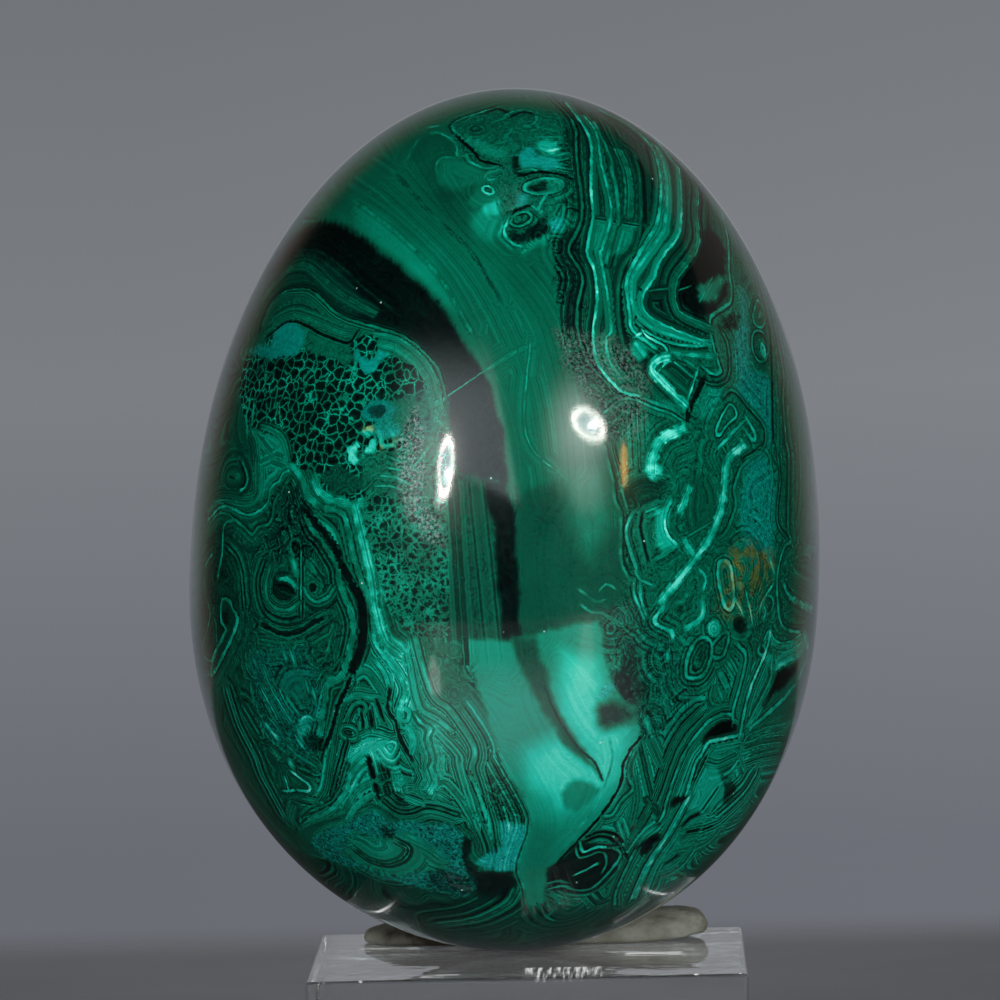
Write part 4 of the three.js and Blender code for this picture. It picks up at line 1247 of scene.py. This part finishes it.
wall_gain = eases(stone, grain(stone, in_mm, 0.45, 2.0), 0.3, 0.7, 0.65, 1.1)
comb_tone = ramp(stone, cells(1.15), [(0.0, 0.74), (0.03, 0.52), (0.07, 0.3), (0.14, 0.15), (0.3, 0.06)])
comb_tone = times(stone, comb_tone, wall_gain)
crumple = node(stone, "TexNoise", {"Vector": in_mm, "Scale": 2.2, "Detail": 3.0, "Roughness": 0.7})
crumpled = node(stone, "VectorMath", {
    0: crumple.outputs["Color"], 1: (0.8, 0.8, 0.8), 2: bent.outputs[0],
}, operation="MULTIPLY_ADD")
fine_walls = cells(1.6, crumpled.outputs[0])
fine_comb_tone = ramp(stone, fine_walls, [
    (0.0, 0.64), (0.05, 0.52), (0.12, 0.38), (0.24, 0.2), (0.42, 0.1),
])
fine_comb_tone = times(stone, fine_comb_tone, wall_gain)
comb_share = sums(stone, "MULTIPLY_ADD", wobble, 0.5, read(stone, "comb"))
tone = blends(stone, eases(stone, comb_share, 0.3, 0.6), tone, comb_tone)
fine_share = sums(stone, "MULTIPLY_ADD", wobble, 0.5, read(stone, "fine_comb"))
tone = blends(stone, eases(stone, fine_share, 0.3, 0.6), tone, fine_comb_tone)

growths = node(stone, "TexVoronoi", {"Vector": bent.outputs[0], "Scale": 0.62, "Randomness": 1.0})
growth_kind = node(stone, "SeparateColor", {"Color": growths.outputs["Color"]})
growth_place = sums(stone, "MULTIPLY_ADD", growth_kind.outputs["Red"], 40.0, times(
    stone, growths.outputs["Distance"], 6.5))
growth_rings = grain(stone, growth_place, 1.0, 2.0, 0.6, dimensions="1D")
crumb_rings = eases(stone, growth_rings, 0.32, 0.68, -0.5, 0.5, "LINEAR")
crumb_noise = grain(stone, in_mm, 3.4, 5.0, 0.7, 0.8)
crumb_grain = eases(stone, crumb_noise, 0.35, 0.7, -0.5, 0.6, "LINEAR")
ring_share = eases(stone, grain(stone, in_mm, 0.35, 2.0), 0.4, 0.6, 0.2, 0.75)
ring_share = times(stone, ring_share, eases(stone, read(stone, "blue"), 0.3, 0.6, 1.0, 0.0))
crumb_tone = blends(stone, ring_share, crumb_grain, crumb_rings)
crumb_gain = times(stone, read(stone, "crumbs"), 0.8)
tone = sums(stone, "MULTIPLY_ADD", crumb_tone, crumb_gain, tone)

# %% The lines and their two sides
on_left = sums(stone, "GREATER_THAN", side, 0.0)
side_tone = blends(stone, on_left, read(stone, "vein_right"), read(stone, "vein_left"))
side_reach = blends(stone, on_left, read(stone, "vein_right_reach"), read(stone, "vein_left_reach"))
side_share = eases(stone, from_line, side_reach, times(stone, side_reach, 0.35))
side_share = times(stone, side_share, strength)
has_reach = sums(stone, "GREATER_THAN", side_reach, 0.01)
side_share = times(stone, side_share, has_reach)
echo_gain = times(stone, read(stone, "vein_echo"), 0.7)
side_tone = sums(stone, "MULTIPLY_ADD", fine_bands, echo_gain, side_tone)
tone = blends(stone, times(stone, side_share, 0.85), tone, side_tone)

swelling = eases(stone, grain(stone, in_mm, 1.4, 3.0, 0.6), 0.3, 0.7, 0.6, 1.6)
half_width = times(stone, read(stone, "vein_half_width"), swelling)
line_edge = eases(
    stone, from_line, sums(stone, "MULTIPLY_ADD", half_width, 1.15, 0.05),
    times(stone, half_width, 0.55),
)
strand_place = sums(stone, "MULTIPLY_ADD", side, 5.5, read(stone, "vein_seed"))
strands = sums(stone, "SUBTRACT", grain(stone, strand_place, 1.0, 2.0, 0.6, dimensions="1D"), 0.5)
strand_gain = eases(stone, half_width, 0.1, 0.4, 0.0, 0.9)
line_tone = sums(stone, "MULTIPLY_ADD", strands, strand_gain, read(stone, "vein_tone"))
line_patches = eases(stone, grain(stone, in_mm, 0.8, 3.0), 0.3, 0.7, 0.72, 1.16)
line_tone = times(stone, line_tone, line_patches)
line_tone = sums(stone, "MULTIPLY_ADD", shiver, 0.25, line_tone)
line_share = times(stone, line_edge, sums(stone, "GREATER_THAN", half_width, 0.01))
tone = blends(stone, times(stone, line_share, strength), tone, line_tone)
tone = sums(stone, "SUBTRACT", tone, 0.025)
tone = sums(stone, "MULTIPLY_ADD", grain(stone, in_mm, 9.0, 2.0), 0.05, tone)

# %% The greens, the blue and the rust
GREENS = [
    (0.0, from_screen(1, 5, 5)), (0.1, from_screen(1, 22, 17)), (0.25, from_screen(1, 54, 40)),
    (0.4, from_screen(1, 82, 60)), (0.55, from_screen(2, 114, 90)), (0.7, from_screen(5, 150, 126)),
    (0.82, from_screen(20, 176, 154)), (1.0, from_screen(106, 216, 198)),
]
BLUES = [
    (0.0, from_screen(1, 12, 13)), (0.25, from_screen(1, 58, 52)), (0.45, from_screen(1, 100, 89)),
    (0.65, from_screen(2, 128, 117)), (0.85, from_screen(26, 166, 152)),
    (1.0, from_screen(112, 214, 200)),
]
RUSTS = [
    (0.0, from_screen(16, 24, 6)), (0.35, from_screen(56, 66, 22)), (0.6, from_screen(104, 118, 52)),
    (1.0, from_screen(150, 190, 130)),
]
colour = ramp(stone, tone, GREENS)
blue_share = sums(stone, "MULTIPLY_ADD", wobble, 0.6, read(stone, "blue"))
colour = blends_colour(stone, eases(stone, blue_share, 0.15, 0.75), colour, ramp(stone, tone, BLUES))
rust_patches = eases(stone, grain(stone, in_mm, 1.1, 3.0), 0.42, 0.6)
rust_share = times(stone, read(stone, "brown"), rust_patches)
colour = blends_colour(stone, rust_share, colour, ramp(stone, tone, RUSTS))
specks = node(stone, "TexVoronoi", {"Vector": in_mm, "Scale": 0.42, "Randomness": 1.0})
speck_kind = node(stone, "SeparateColor", {"Color": specks.outputs["Color"]})
dust = times(stone, eases(stone, specks.outputs["Distance"], 0.03, 0.045, 1.0, 0.0), eases(
    stone, speck_kind.outputs["Green"], 0.6, 0.7, 0.0, 0.8))
colour = blends_colour(stone, dust, colour, from_screen(170, 200, 192))
# Painted light: round the pores, the colour is painted whitish grey for the hazy glow of the bright spots
# beside them.
pores = read(stone, "pores")
pore_walls = eases(stone, grain(stone, in_mm, 4.0, 4.0, 0.7), 0.46, 0.62)
painted_pore_glow = times(stone, times(stone, pore_walls, pores), 0.55)
colour = blends_colour(stone, painted_pore_glow, colour, from_screen(150, 172, 168))
feed(stone, stone_shader.inputs["Base Color"], colour)

# %% [markdown]
# ## The polish
# A polished stone has two kinds of gloss: a sharp one from the wax on top and a softer, hazier
# one from the fine scratches below it. The Principled shader's coat is the first, and its own
# roughness the second. The wax is thin in places, so its weight varies a little. Beside the
# comb the stone is porous, and its pores are bumped. The whitish grey round them is painted light:
# the hazy glow of the bright spots nearby.
# %% Gloss of the stone
stone_shader.inputs["IOR"].default_value = 1.6
stone_shader.inputs["Specular IOR Level"].default_value = 0.22
wax = eases(stone, grain(stone, in_mm, 5.0, 5.0, 0.75), 0.38, 0.62, 0.72, 1.0)
feed(stone, stone_shader.inputs["Coat Weight"], wax)
stone_shader.inputs["Coat Roughness"].default_value = 0.03
stone_shader.inputs["Coat IOR"].default_value = 1.5
rubbed = grain(stone, in_mm, 1.6, 4.0, 0.6)
stone_rough = eases(stone, rubbed, 0.3, 0.7, 0.17, 0.26)
feed(stone, stone_shader.inputs["Roughness"], stone_rough)
pit_height = times(stone, pore_walls, pores)
pits = node(stone, "Bump", {"Height": pit_height, "Strength": 0.4, "Distance": 0.0001})
feed(stone, stone_shader.inputs["Normal"], pits.outputs["Normal"])
waxed = node(stone, "Bump", {"Height": grain(stone, in_mm, 7.0, 3.0), "Strength": 0.02, "Distance": 0.0001})
feed(stone, stone_shader.inputs["Coat Normal"], waxed.outputs["Normal"])
egg_mesh.materials.append(malachite)
print("stone nodes", len(stone.nodes))

# %% [markdown]
# ## The acrylic block
# A block like this is sawn from cast sheet, and its faces and edges are polished with a flame or
# a wheel. At three degrees the camera sees its top mostly as a mirror. A cube with all its edges
# bevelled by a small round is its whole shape. Wear is in the material: dust on the top is a
# sheen, which shows at such a flat angle, and scuffs and chips are white and let less through.
# The white scuffs and chips are also painted glints: they stand where the top and its front edge
# sparkle, and a sheen on them brightens them more.
# %% Block
BLOCK_SIDE = 38.1
BLOCK_HEIGHT = 19.05
BLOCK_EASE = 0.4

block_bm = bmesh.new()
bmesh.ops.create_cube(block_bm, size=1)
bmesh.ops.scale(block_bm, vec=(BLOCK_SIDE * MM, BLOCK_SIDE * MM, BLOCK_HEIGHT * MM), verts=block_bm.verts)
bmesh.ops.translate(block_bm, vec=(0, 0, BLOCK_HEIGHT / 2 * MM), verts=block_bm.verts)
bmesh.ops.bevel(
    block_bm, geom=block_bm.edges[:], offset=BLOCK_EASE * MM, affect="EDGES", segments=4,
    profile=0.5, material=-1,
)
block_mesh = bpy.data.meshes.new("acrylic_block_polished")
block_bm.to_mesh(block_mesh)
block_bm.free()
block_mesh.shade_smooth()
block = bpy.data.objects.new("acrylic_block_polished", block_mesh)
bpy.context.scene.collection.objects.link(block)
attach(block, "stand")
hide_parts("acrylic_block")
weighted = block.modifiers.new("even shading", "WEIGHTED_NORMAL")
weighted.weight = 100
print("block faces", len(block_mesh.polygons))

# %% Acrylic
acrylic, clear, clear_shader = new_material("clear_cast_acrylic")
clear_mm = place_in_mm(clear)
clear_shader.inputs["IOR"].default_value = 1.49
handled = grain(clear, clear_mm, 0.5, 4.0, 0.6)
block_axes = node(clear, "SeparateXYZ", {"Vector": clear_mm})
on_top = eases(clear, block_axes.outputs["Z"], BLOCK_HEIGHT - 0.6, BLOCK_HEIGHT - 0.3)
SCUFF_EDGE = 0.6


def scuff_and_glint_box(x_range, y_range, stretch, low, high):
    """White scuffs in one part of the block's top, which are also painted glints: stretch is the grain's
    scale in x and y.
    """
    stretched = node(clear, "Mapping", {"Vector": clear_mm, "Scale": (*stretch, 1)}).outputs["Vector"]
    share = times(clear, eases(clear, grain(clear, stretched, 1.0, 3.0), low, high), on_top)
    for axis, (start, end) in zip("XY", (x_range, y_range)):
        along = block_axes.outputs[axis]
        share = times(clear, share, eases(clear, along, start, start + SCUFF_EDGE))
        share = times(clear, share, eases(clear, along, end - SCUFF_EDGE, end, 1.0, 0.0))
    return share


def chip(x, y, radius):
    """A small white chip at a place on the block's top, which is also a painted glint."""
    spot = (x, y, BLOCK_HEIGHT - 0.1)
    far = node(clear, "VectorMath", {0: clear_mm, 1: spot}, operation="DISTANCE").outputs["Value"]
    return eases(clear, far, radius * 0.6, radius, 1.0, 0.0)


# Painted glints: white scuffs and chips where the block's top and its front edge sparkle.
SCUFFS_AND_GLINTS = [
    scuff_and_glint_box((-0.5, 6.8), (-19.2, -11.0), (2.6, 0.12), 0.44, 0.66),
    scuff_and_glint_box((8.2, 13.8), (-3.6, -0.4), (0.15, 1.0), 0.4, 0.48),
    scuff_and_glint_box((-15.5, -9.5), (4.6, 7.4), (0.2, 1.5), 0.5, 0.56),
    scuff_and_glint_box((-9.5, -5.5), (-17.5, -15.0), (0.3, 1.2), 0.5, 0.56),
    scuff_and_glint_box((-19.0, 19.0), (-18.9, -18.3), (0.6, 0.6), 0.55, 0.65),
    chip(-18.4, -18.5, 0.25), chip(-14.3, -18.8, 0.22), chip(14.6, -18.6, 0.32), chip(18.4, -18.6, 0.25),
    chip(18.3, 14.5, 0.6),
]
scuffs_and_glints = SCUFFS_AND_GLINTS[0]
for other in SCUFFS_AND_GLINTS[1:]:
    scuffs_and_glints = sums(clear, "MAXIMUM", scuffs_and_glints, other)
feed(clear, clear_shader.inputs["Transmission Weight"], eases(clear, scuffs_and_glints, 0.0, 1.0, 1.0, 0.35, "LINEAR"))
feed(clear, clear_shader.inputs["Base Color"], blends_colour(
    clear, scuffs_and_glints, from_screen(248, 251, 251), from_screen(250, 252, 255)))
dusty = eases(clear, block_axes.outputs["Y"], -19.0, 19.0, 0.07, 0.16, "LINEAR")
dusty = times(clear, on_top, dusty)
feed(clear, clear_shader.inputs["Sheen Weight"], sums(clear, "MULTIPLY_ADD", scuffs_and_glints, 0.8, dusty))
clear_shader.inputs["Sheen Roughness"].default_value = 0.4
clear_rough = eases(clear, handled, 0.45, 0.75, 0.0, 0.06)
feed(clear, clear_shader.inputs["Roughness"], sums(clear, "MULTIPLY_ADD", scuffs_and_glints, 0.3, clear_rough))
ripple = node(clear, "Bump", {
    "Height": grain(clear, clear_mm, 0.35, 2.0), "Strength": 0.06, "Distance": 0.0004,
})
feed(clear, clear_shader.inputs["Normal"], ripple.outputs["Normal"])
block_mesh.materials.append(acrylic)

# %% [markdown]
# ## The putty
# Display putty is kneaded warm, rolled between the palms and pushed under the egg, which prints its
# own shape into it. The imported solid has that shape. Its copy is remeshed evenly, so that the
# skin can take small dents and creases. Each vertex keeps how close it lies to the stone, for
# painted shade: near the egg, where the egg's shadow falls on it, the putty is painted dark brown.
# %% Putty
PUTTY_GRAIN = 0.28
DENT = 0.22

# How far from the egg the painted shade of its shadow reaches, in millimetres.
EGG_SHADE_REACH = 8.0

putty_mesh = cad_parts["putty_pad"].data.copy()
putty_mesh.name = "display_putty"
putty_bm = bmesh.new()
putty_bm.from_mesh(putty_mesh)
bmesh.ops.remove_doubles(putty_bm, verts=putty_bm.verts, dist=1e-6)
putty_bm.to_mesh(putty_mesh)
putty_bm.free()
putty_mesh.materials.clear()
putty = bpy.data.objects.new("display_putty", putty_mesh)
bpy.context.scene.collection.objects.link(putty)
even = putty.modifiers.new("even skin", "REMESH")
even.mode = "VOXEL"
even.voxel_size = PUTTY_GRAIN * MM
even.use_smooth_shade = True
graph = bpy.context.evaluated_depsgraph_get()
kneaded = bpy.data.meshes.new_from_object(putty.evaluated_get(graph))
putty.modifiers.clear()
putty.data = kneaded
kneaded.name = "display_putty"
skin = bmesh.new()
skin.from_mesh(kneaded)
for _ in range(3):
    bmesh.ops.smooth_vert(
        skin, verts=skin.verts, factor=0.5, use_axis_x=True, use_axis_y=True, use_axis_z=True,
    )
skin.normal_update()
for vert in skin.verts:
    above = vert.co.z / MM - BLOCK_HEIGHT
    if above > 0.25:
        dent = noise.noise(vert.co / MM * 0.45) + 0.5 * noise.noise(vert.co / MM * 1.3)
        vert.co -= vert.normal * (DENT * MM * (0.35 + dent) * min(1, above))
skin.to_mesh(kneaded)
skin.free()
# Each vertex keeps its nearness to the egg, which the material turns into painted shade.
egg_shade_nearness = kneaded.attributes.new("egg_shade_nearness", "FLOAT", "POINT")
for vert in kneaded.vertices:
    gap = shell_tree.find_nearest(vert.co)[3] / MM
    egg_shade_nearness.data[vert.index].value = max(0.0, 1.0 - gap / EGG_SHADE_REACH)
kneaded.shade_smooth()
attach(putty, "stand")
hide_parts("putty_pad")
print("putty faces", len(kneaded.polygons))

# %% Putty's surface
putty_material, clay, clay_shader = new_material("grey_display_putty")
clay_mm = place_in_mm(clay)
smudge = grain(clay, clay_mm, 0.5, 4.0, 0.6)
clay_colour = ramp(clay, smudge, [
    (0.3, from_screen(104, 103, 90)), (0.6, from_screen(138, 141, 131)), (0.8, from_screen(156, 161, 151)),
])
# Painted shade: the putty turns dark brown near the egg, where the egg's shadow falls, with a smudge in it.
# It is weaker to the right, where the putty is lit.
painted_egg_shade = sums(clay, "MULTIPLY_ADD", sums(clay, "SUBTRACT", smudge, 0.5), 0.8, read(clay, "egg_shade_nearness"))
clay_xyz = node(clay, "SeparateXYZ", {"Vector": clay_mm})
painted_egg_shade = times(clay, painted_egg_shade, eases(clay, clay_xyz.outputs["X"], -4.0, 6.0, 1.0, 0.45))
clay_colour = blends_colour(clay, eases(clay, painted_egg_shade, 0.25, 0.8), clay_colour, from_screen(34, 28, 19))
feed(clay, clay_shader.inputs["Base Color"], clay_colour)
feed(clay, clay_shader.inputs["Roughness"], eases(clay, smudge, 0.3, 0.7, 0.55, 0.75))
skin_bump = node(clay, "Bump", {
    "Height": grain(clay, clay_mm, 3.0, 4.0), "Strength": 0.25, "Distance": 0.0004,
})
feed(clay, clay_shader.inputs["Normal"], skin_bump.outputs["Normal"])
kneaded.materials.clear()
kneaded.materials.append(putty_material)

# %% [markdown]
# ## Table, background and lamps
# The table is a plain sheet that fades out behind the egg, where the picture is out of focus. In the
# stone's gloss it is painted dark, except for a wedge of painted light in front of the block.
# The background is the world, grey for the camera and darker in front of the stone, so that
# the black layers stay black. Each bright spot on the stone is a mirror image: the ray from the
# camera, turned at that spot, points to what the stone shows there. The large soft lights are
# ovals of light in the world, in that direction, and the small ones are lamps.
# %% Table
TABLE_BACK = 0.193
TABLE_FRONT = -0.42
TABLE_HALF_WIDTH = 0.5
TABLE_EDGE_BLUR = 0.02

table_bm = bmesh.new()
bmesh.ops.create_grid(table_bm, x_segments=8, y_segments=8, size=1)
table_depth = TABLE_BACK + 2 * TABLE_EDGE_BLUR - TABLE_FRONT
bmesh.ops.scale(table_bm, vec=(TABLE_HALF_WIDTH, table_depth / 2, 1), verts=table_bm.verts)
bmesh.ops.translate(table_bm, vec=(0, TABLE_FRONT + table_depth / 2, -0.0003), verts=table_bm.verts)
table_mesh = bpy.data.meshes.new("table")
table_bm.to_mesh(table_mesh)
table_bm.free()
table = bpy.data.objects.new("table", table_mesh)
bpy.context.scene.collection.objects.link(table)
table_material, top, top_shader = new_material("table_top")
top_coordinates = node(top, "TexCoord").outputs["Object"]
top_place = node(top, "SeparateXYZ", {"Vector": top_coordinates})
fades = eases(
    top, top_place.outputs["Y"], TABLE_BACK - TABLE_EDGE_BLUR, TABLE_BACK + TABLE_EDGE_BLUR, 1.0, 0.0,
)
top_grain = grain(top, top_coordinates, 60.0, 3.0)
top_colour = ramp(top, top_grain, [(0.3, from_screen(124, 125, 131)), (0.7, from_screen(130, 131, 137))])
# Painted light and shade: in rays that the stone mirrors, the table is dark except for a lit wedge in front
# of the block, which the stone shows as a pale reflection.
towards_viewer = times(top, top_place.outputs["Y"], -1.0)
direction = sums(top, "ARCTAN2", top_place.outputs["X"], towards_viewer)
lit = times(top, eases(top, direction, -0.58, -0.46), eases(top, direction, 0.78, 0.92, 1.0, 0.0))
away = node(top, "VectorMath", {0: top_coordinates}, operation="LENGTH").outputs["Value"]
lit = times(top, lit, eases(top, away, 0.035, 0.085))
top_rays = node(top, "LightPath")
mirrored_top = times(
    top, top_rays.outputs["Is Glossy Ray"],
    sums(top, "SUBTRACT", 1.0, top_rays.outputs["Is Transmission Ray"]))
table_painted_shade = blends(top, mirrored_top, 1.0, sums(top, "MAXIMUM", lit, 0.06))
feed(top, top_shader.inputs["Base Color"], node(
    top, "VectorMath", {0: top_colour, "Scale": table_painted_shade}, operation="SCALE").outputs["Vector"])
top_shader.inputs["Roughness"].default_value = 0.45
feed(top, top_shader.inputs["Alpha"], fades)
table_mesh.materials.append(table_material)

# %% The world behind the egg and in front of it
world = bpy.data.worlds.new("room")
bpy.context.scene.world = world
world.use_nodes = True
room = world.node_tree
room.nodes.clear()
room_out = room.nodes.new("ShaderNodeOutputWorld")
look = node(room, "SeparateXYZ", {"Vector": node(room, "TexCoord").outputs["Generated"]})
BACKGROUND = from_screen(114, 117, 121)
BACKGROUND_MIDDLE = from_screen(124, 127, 132)
BACKGROUND_LOW = from_screen(106, 109, 116)
SIDE_TONE = from_screen(118, 108, 100)
DARK_PANEL = from_screen(92, 86, 82)
BLOCK_SHEEN = from_screen(144, 147, 152)
UNLIT = (0.003, 0.003, 0.003, 1)
wall = ramp(room, eases(room, look.outputs["Z"], -0.115, 0.01, shape="LINEAR"), [
    (0.0, BACKGROUND_LOW), (0.15, BACKGROUND_LOW), (0.6, BACKGROUND_MIDDLE), (1.0, BACKGROUND),
])
sides_share = eases(room, look.outputs["Y"], 0.75, 0.92)
wall_and_sides = blends_colour(room, sides_share, SIDE_TONE, wall)
reflected = blends_colour(room, eases(room, look.outputs["Y"], 0.6, 0.9), UNLIT, wall_and_sides)
dark_panel = times(room, eases(room, look.outputs["Z"], 0.22, 0.3), eases(
    room, sums(room, "ADD", look.outputs["X"], look.outputs["Y"]), 1.06, 1.1))
reflected = blends_colour(room, dark_panel, reflected, DARK_PANEL)


def mirrored(pixel):
    """The direction that the camera sees mirrored in the stone at a pixel."""
    _, normal = on_stone(*pixel)
    inward = ray_through(*pixel)
    return (inward - 2 * inward.dot(normal) * normal).normalized()


def along(way):
    """How far each direction of the room goes along one way."""
    direction = node(room, "TexCoord").outputs["Generated"]
    return node(room, "VectorMath", {0: direction, 1: way}, operation="DOT_PRODUCT").outputs["Value"]


def oval_in_room(pixel, across, up, turn=0):
    """How far each direction lies from a spot of the room, in radii of an oval round it."""
    centre = mirrored(pixel)
    right = Vector((-centre.y, centre.x, 0)).normalized()
    top_way = centre.cross(right) * -1
    lean = math.radians(turn)
    first = right * math.cos(lean) + top_way * math.sin(lean)
    second = top_way * math.cos(lean) - right * math.sin(lean)
    flat = node(room, "CombineXYZ", {"X": along(first / across), "Y": along(second / up)})
    near = node(room, "VectorMath", {0: flat.outputs[0]}, operation="LENGTH").outputs["Value"]
    return sums(room, "MAXIMUM", near, eases(room, along(centre), 0.0, 0.1, 9.0, 0.0))


def add_light(scene_light, share, radiance, colour=(1, 1, 1)):
    """The room's light with one more lit thing in it."""
    thing = node(room, "VectorMath", {
        0: [level * radiance for level in colour], "Scale": share,
    }, operation="SCALE").outputs["Vector"]
    return node(room, "VectorMath", {0: scene_light, 1: thing}, operation="ADD").outputs["Vector"]


def add_oval(scene_light, pixel, across, up, core, radiance, colour=(1, 1, 1)):
    """The room's light with a soft oval in it: core is the part of its radius that is all lit."""
    far = oval_in_room(pixel, across, up)
    return add_light(scene_light, eases(room, far, core, 1.0, 1.0, 0.0), radiance, colour)


def add_framed_oval(scene_light, far, inner, outer, frame_radiance, middle_radiance):
    """The room's light with an oval whose rim is warm and bright and whose middle is bluish."""
    rim = times(room, eases(room, far, *inner), eases(room, far, *outer, 1.0, 0.0))
    scene_light = add_light(scene_light, rim, frame_radiance, (1.0, 0.93, 0.86))
    return add_light(scene_light, eases(room, far, *inner, 1.0, 0.0), middle_radiance, (0.7, 0.86, 1.0))


COOL_WHITE = (0.95, 0.98, 1.0)
left_oval = oval_in_room((446.5, 467), 0.05, 0.089)
right_oval = oval_in_room((589, 424), 0.118, 0.048, 17)
reflected = add_framed_oval(reflected, left_oval, (0.7, 0.78), (0.94, 1.02), 45, 7)
reflected = add_oval(reflected, (447, 474), 0.026, 0.024, 0.5, 36)
reflected = add_oval(reflected, (418, 476), 0.16, 0.17, 0.1, 2.2, COOL_WHITE)
reflected = add_oval(reflected, (438, 496), 0.03, 0.035, 0.2, 14)
reflected = add_framed_oval(reflected, right_oval, (0.6, 0.72), (0.9, 1.05), 26, 5)
reflected = add_oval(reflected, (593.5, 426.5), 0.05, 0.014, 0.5, 38)
reflected = add_oval(reflected, (574, 432), 0.26, 0.22, 0.0, 3.4, COOL_WHITE)
reflected = add_oval(reflected, (588, 488), 0.16, 0.085, 0.3, 1.2, COOL_WHITE)

across_room, up_room = look.outputs["X"], look.outputs["Z"]
haze = times(room, eases(room, up_room, 0.46, 0.66, 1.0, 0.0), eases(
    room, sums(room, "MULTIPLY_ADD", across_room, 0.25, up_room), 0.2, 0.215))
haze = times(room, haze, eases(
    room, sums(room, "MULTIPLY_ADD", up_room, 0.465, across_room), 0.17, 0.2, 1.0, 0.0))
haze = times(room, haze, eases(room, across_room, -0.68, -0.4))
haze = times(room, haze, eases(room, look.outputs["Y"], -0.4, -0.5))
reflected = add_light(reflected, haze, 1.6, (0.86, 1.0, 1.03))
past_the_block = times(room, eases(room, look.outputs["Y"], 0.97, 0.985), eases(
    room, look.outputs["Z"], 0.0, 0.02))
reflected = blends_colour(room, past_the_block, reflected, BLOCK_SHEEN)
rays = node(room, "LightPath")
seen = blends_colour(room, rays.outputs["Is Camera Ray"], reflected, wall)
to_the_right = eases(room, look.outputs["X"], -0.06, 0.06, 0.985, 1.075, "LINEAR")
backdrop = node(room, "Background", {"Color": seen, "Strength": to_the_right})
room.links.new(backdrop.outputs[0], room_out.inputs["Surface"])

# %% Lamps


def soft_lamp(name, place, aim, size, power, colour=(1, 1, 1), in_gloss=False, turn=0, shape="RECTANGLE"):
    """A flat lamp that shines from place towards aim. turn is in degrees, about its beam."""
    light = bpy.data.lights.new(name, "AREA")
    light.shape = shape
    light.size, light.size_y = size
    light.energy = power
    light.color = colour
    lamp = bpy.data.objects.new(name, light)
    bpy.context.scene.collection.objects.link(lamp)
    away = (Vector(place) - Vector(aim)).normalized()
    turned_lamp = away.to_track_quat("Z", "Y").to_matrix() @ Matrix.Rotation(math.radians(turn), 3, "Z")
    lamp.matrix_world = Matrix.Translation(place) @ turned_lamp.to_4x4()
    lamp.visible_glossy = in_gloss
    lamp.visible_camera = False
    return lamp


def mirrored_lamp(name, pixel, size, distance, radiance, colour=(1, 1, 1), turn=0, shape="ELLIPSE"):
    """A lamp that the camera sees in the stone at a pixel."""
    place, normal = on_stone(*pixel)
    inward = ray_through(*pixel)
    out = inward - 2 * inward.dot(normal) * normal
    fill = 1 if shape == "RECTANGLE" else math.pi / 4
    power = radiance * math.pi * fill * size[0] * size[1]
    lamp = soft_lamp(name, place * MM + out * distance, place * MM, size, power, colour, True, turn, shape)
    print(name, "stands at", [round(v, 3) for v in lamp.location])
    return lamp


EGG_MIDDLE = Vector((0, 0, 0.055))
soft_lamp("left softbox", (-0.62, -0.8, 0.24), EGG_MIDDLE, (0.5, 0.5), 3.6)
soft_lamp("right softbox", (0.62, -0.8, 0.2), EGG_MIDDLE, (0.5, 0.5), 3.5)
soft_lamp("low fill", (0.1, -0.9, 0.03), EGG_MIDDLE, (0.9, 0.05), 1.4)
soft_lamp("top light", (0.0, -0.1, 0.9), EGG_MIDDLE, (0.5, 0.5), 1.3)
mirrored_lamp("warm lamp", (624, 465), (0.03, 0.085), 0.7, 12, (1.0, 0.5, 0.12), -10)
mirrored_lamp("gleam on the table, left", (434, 682), (0.009, 0.03), 0.11, 2.5)
mirrored_lamp("gleam on the table, right", (584, 676), (0.014, 0.06), 0.11, 0.9)
pool = soft_lamp("pool on the table", (0.008, -0.12, 0.55), (0.012, -0.098, 0), (0.04, 0.04), 0.13)
pool.data.spread = math.radians(22)

# %% Colour management
bpy.context.scene.view_settings.view_transform = "Standard"
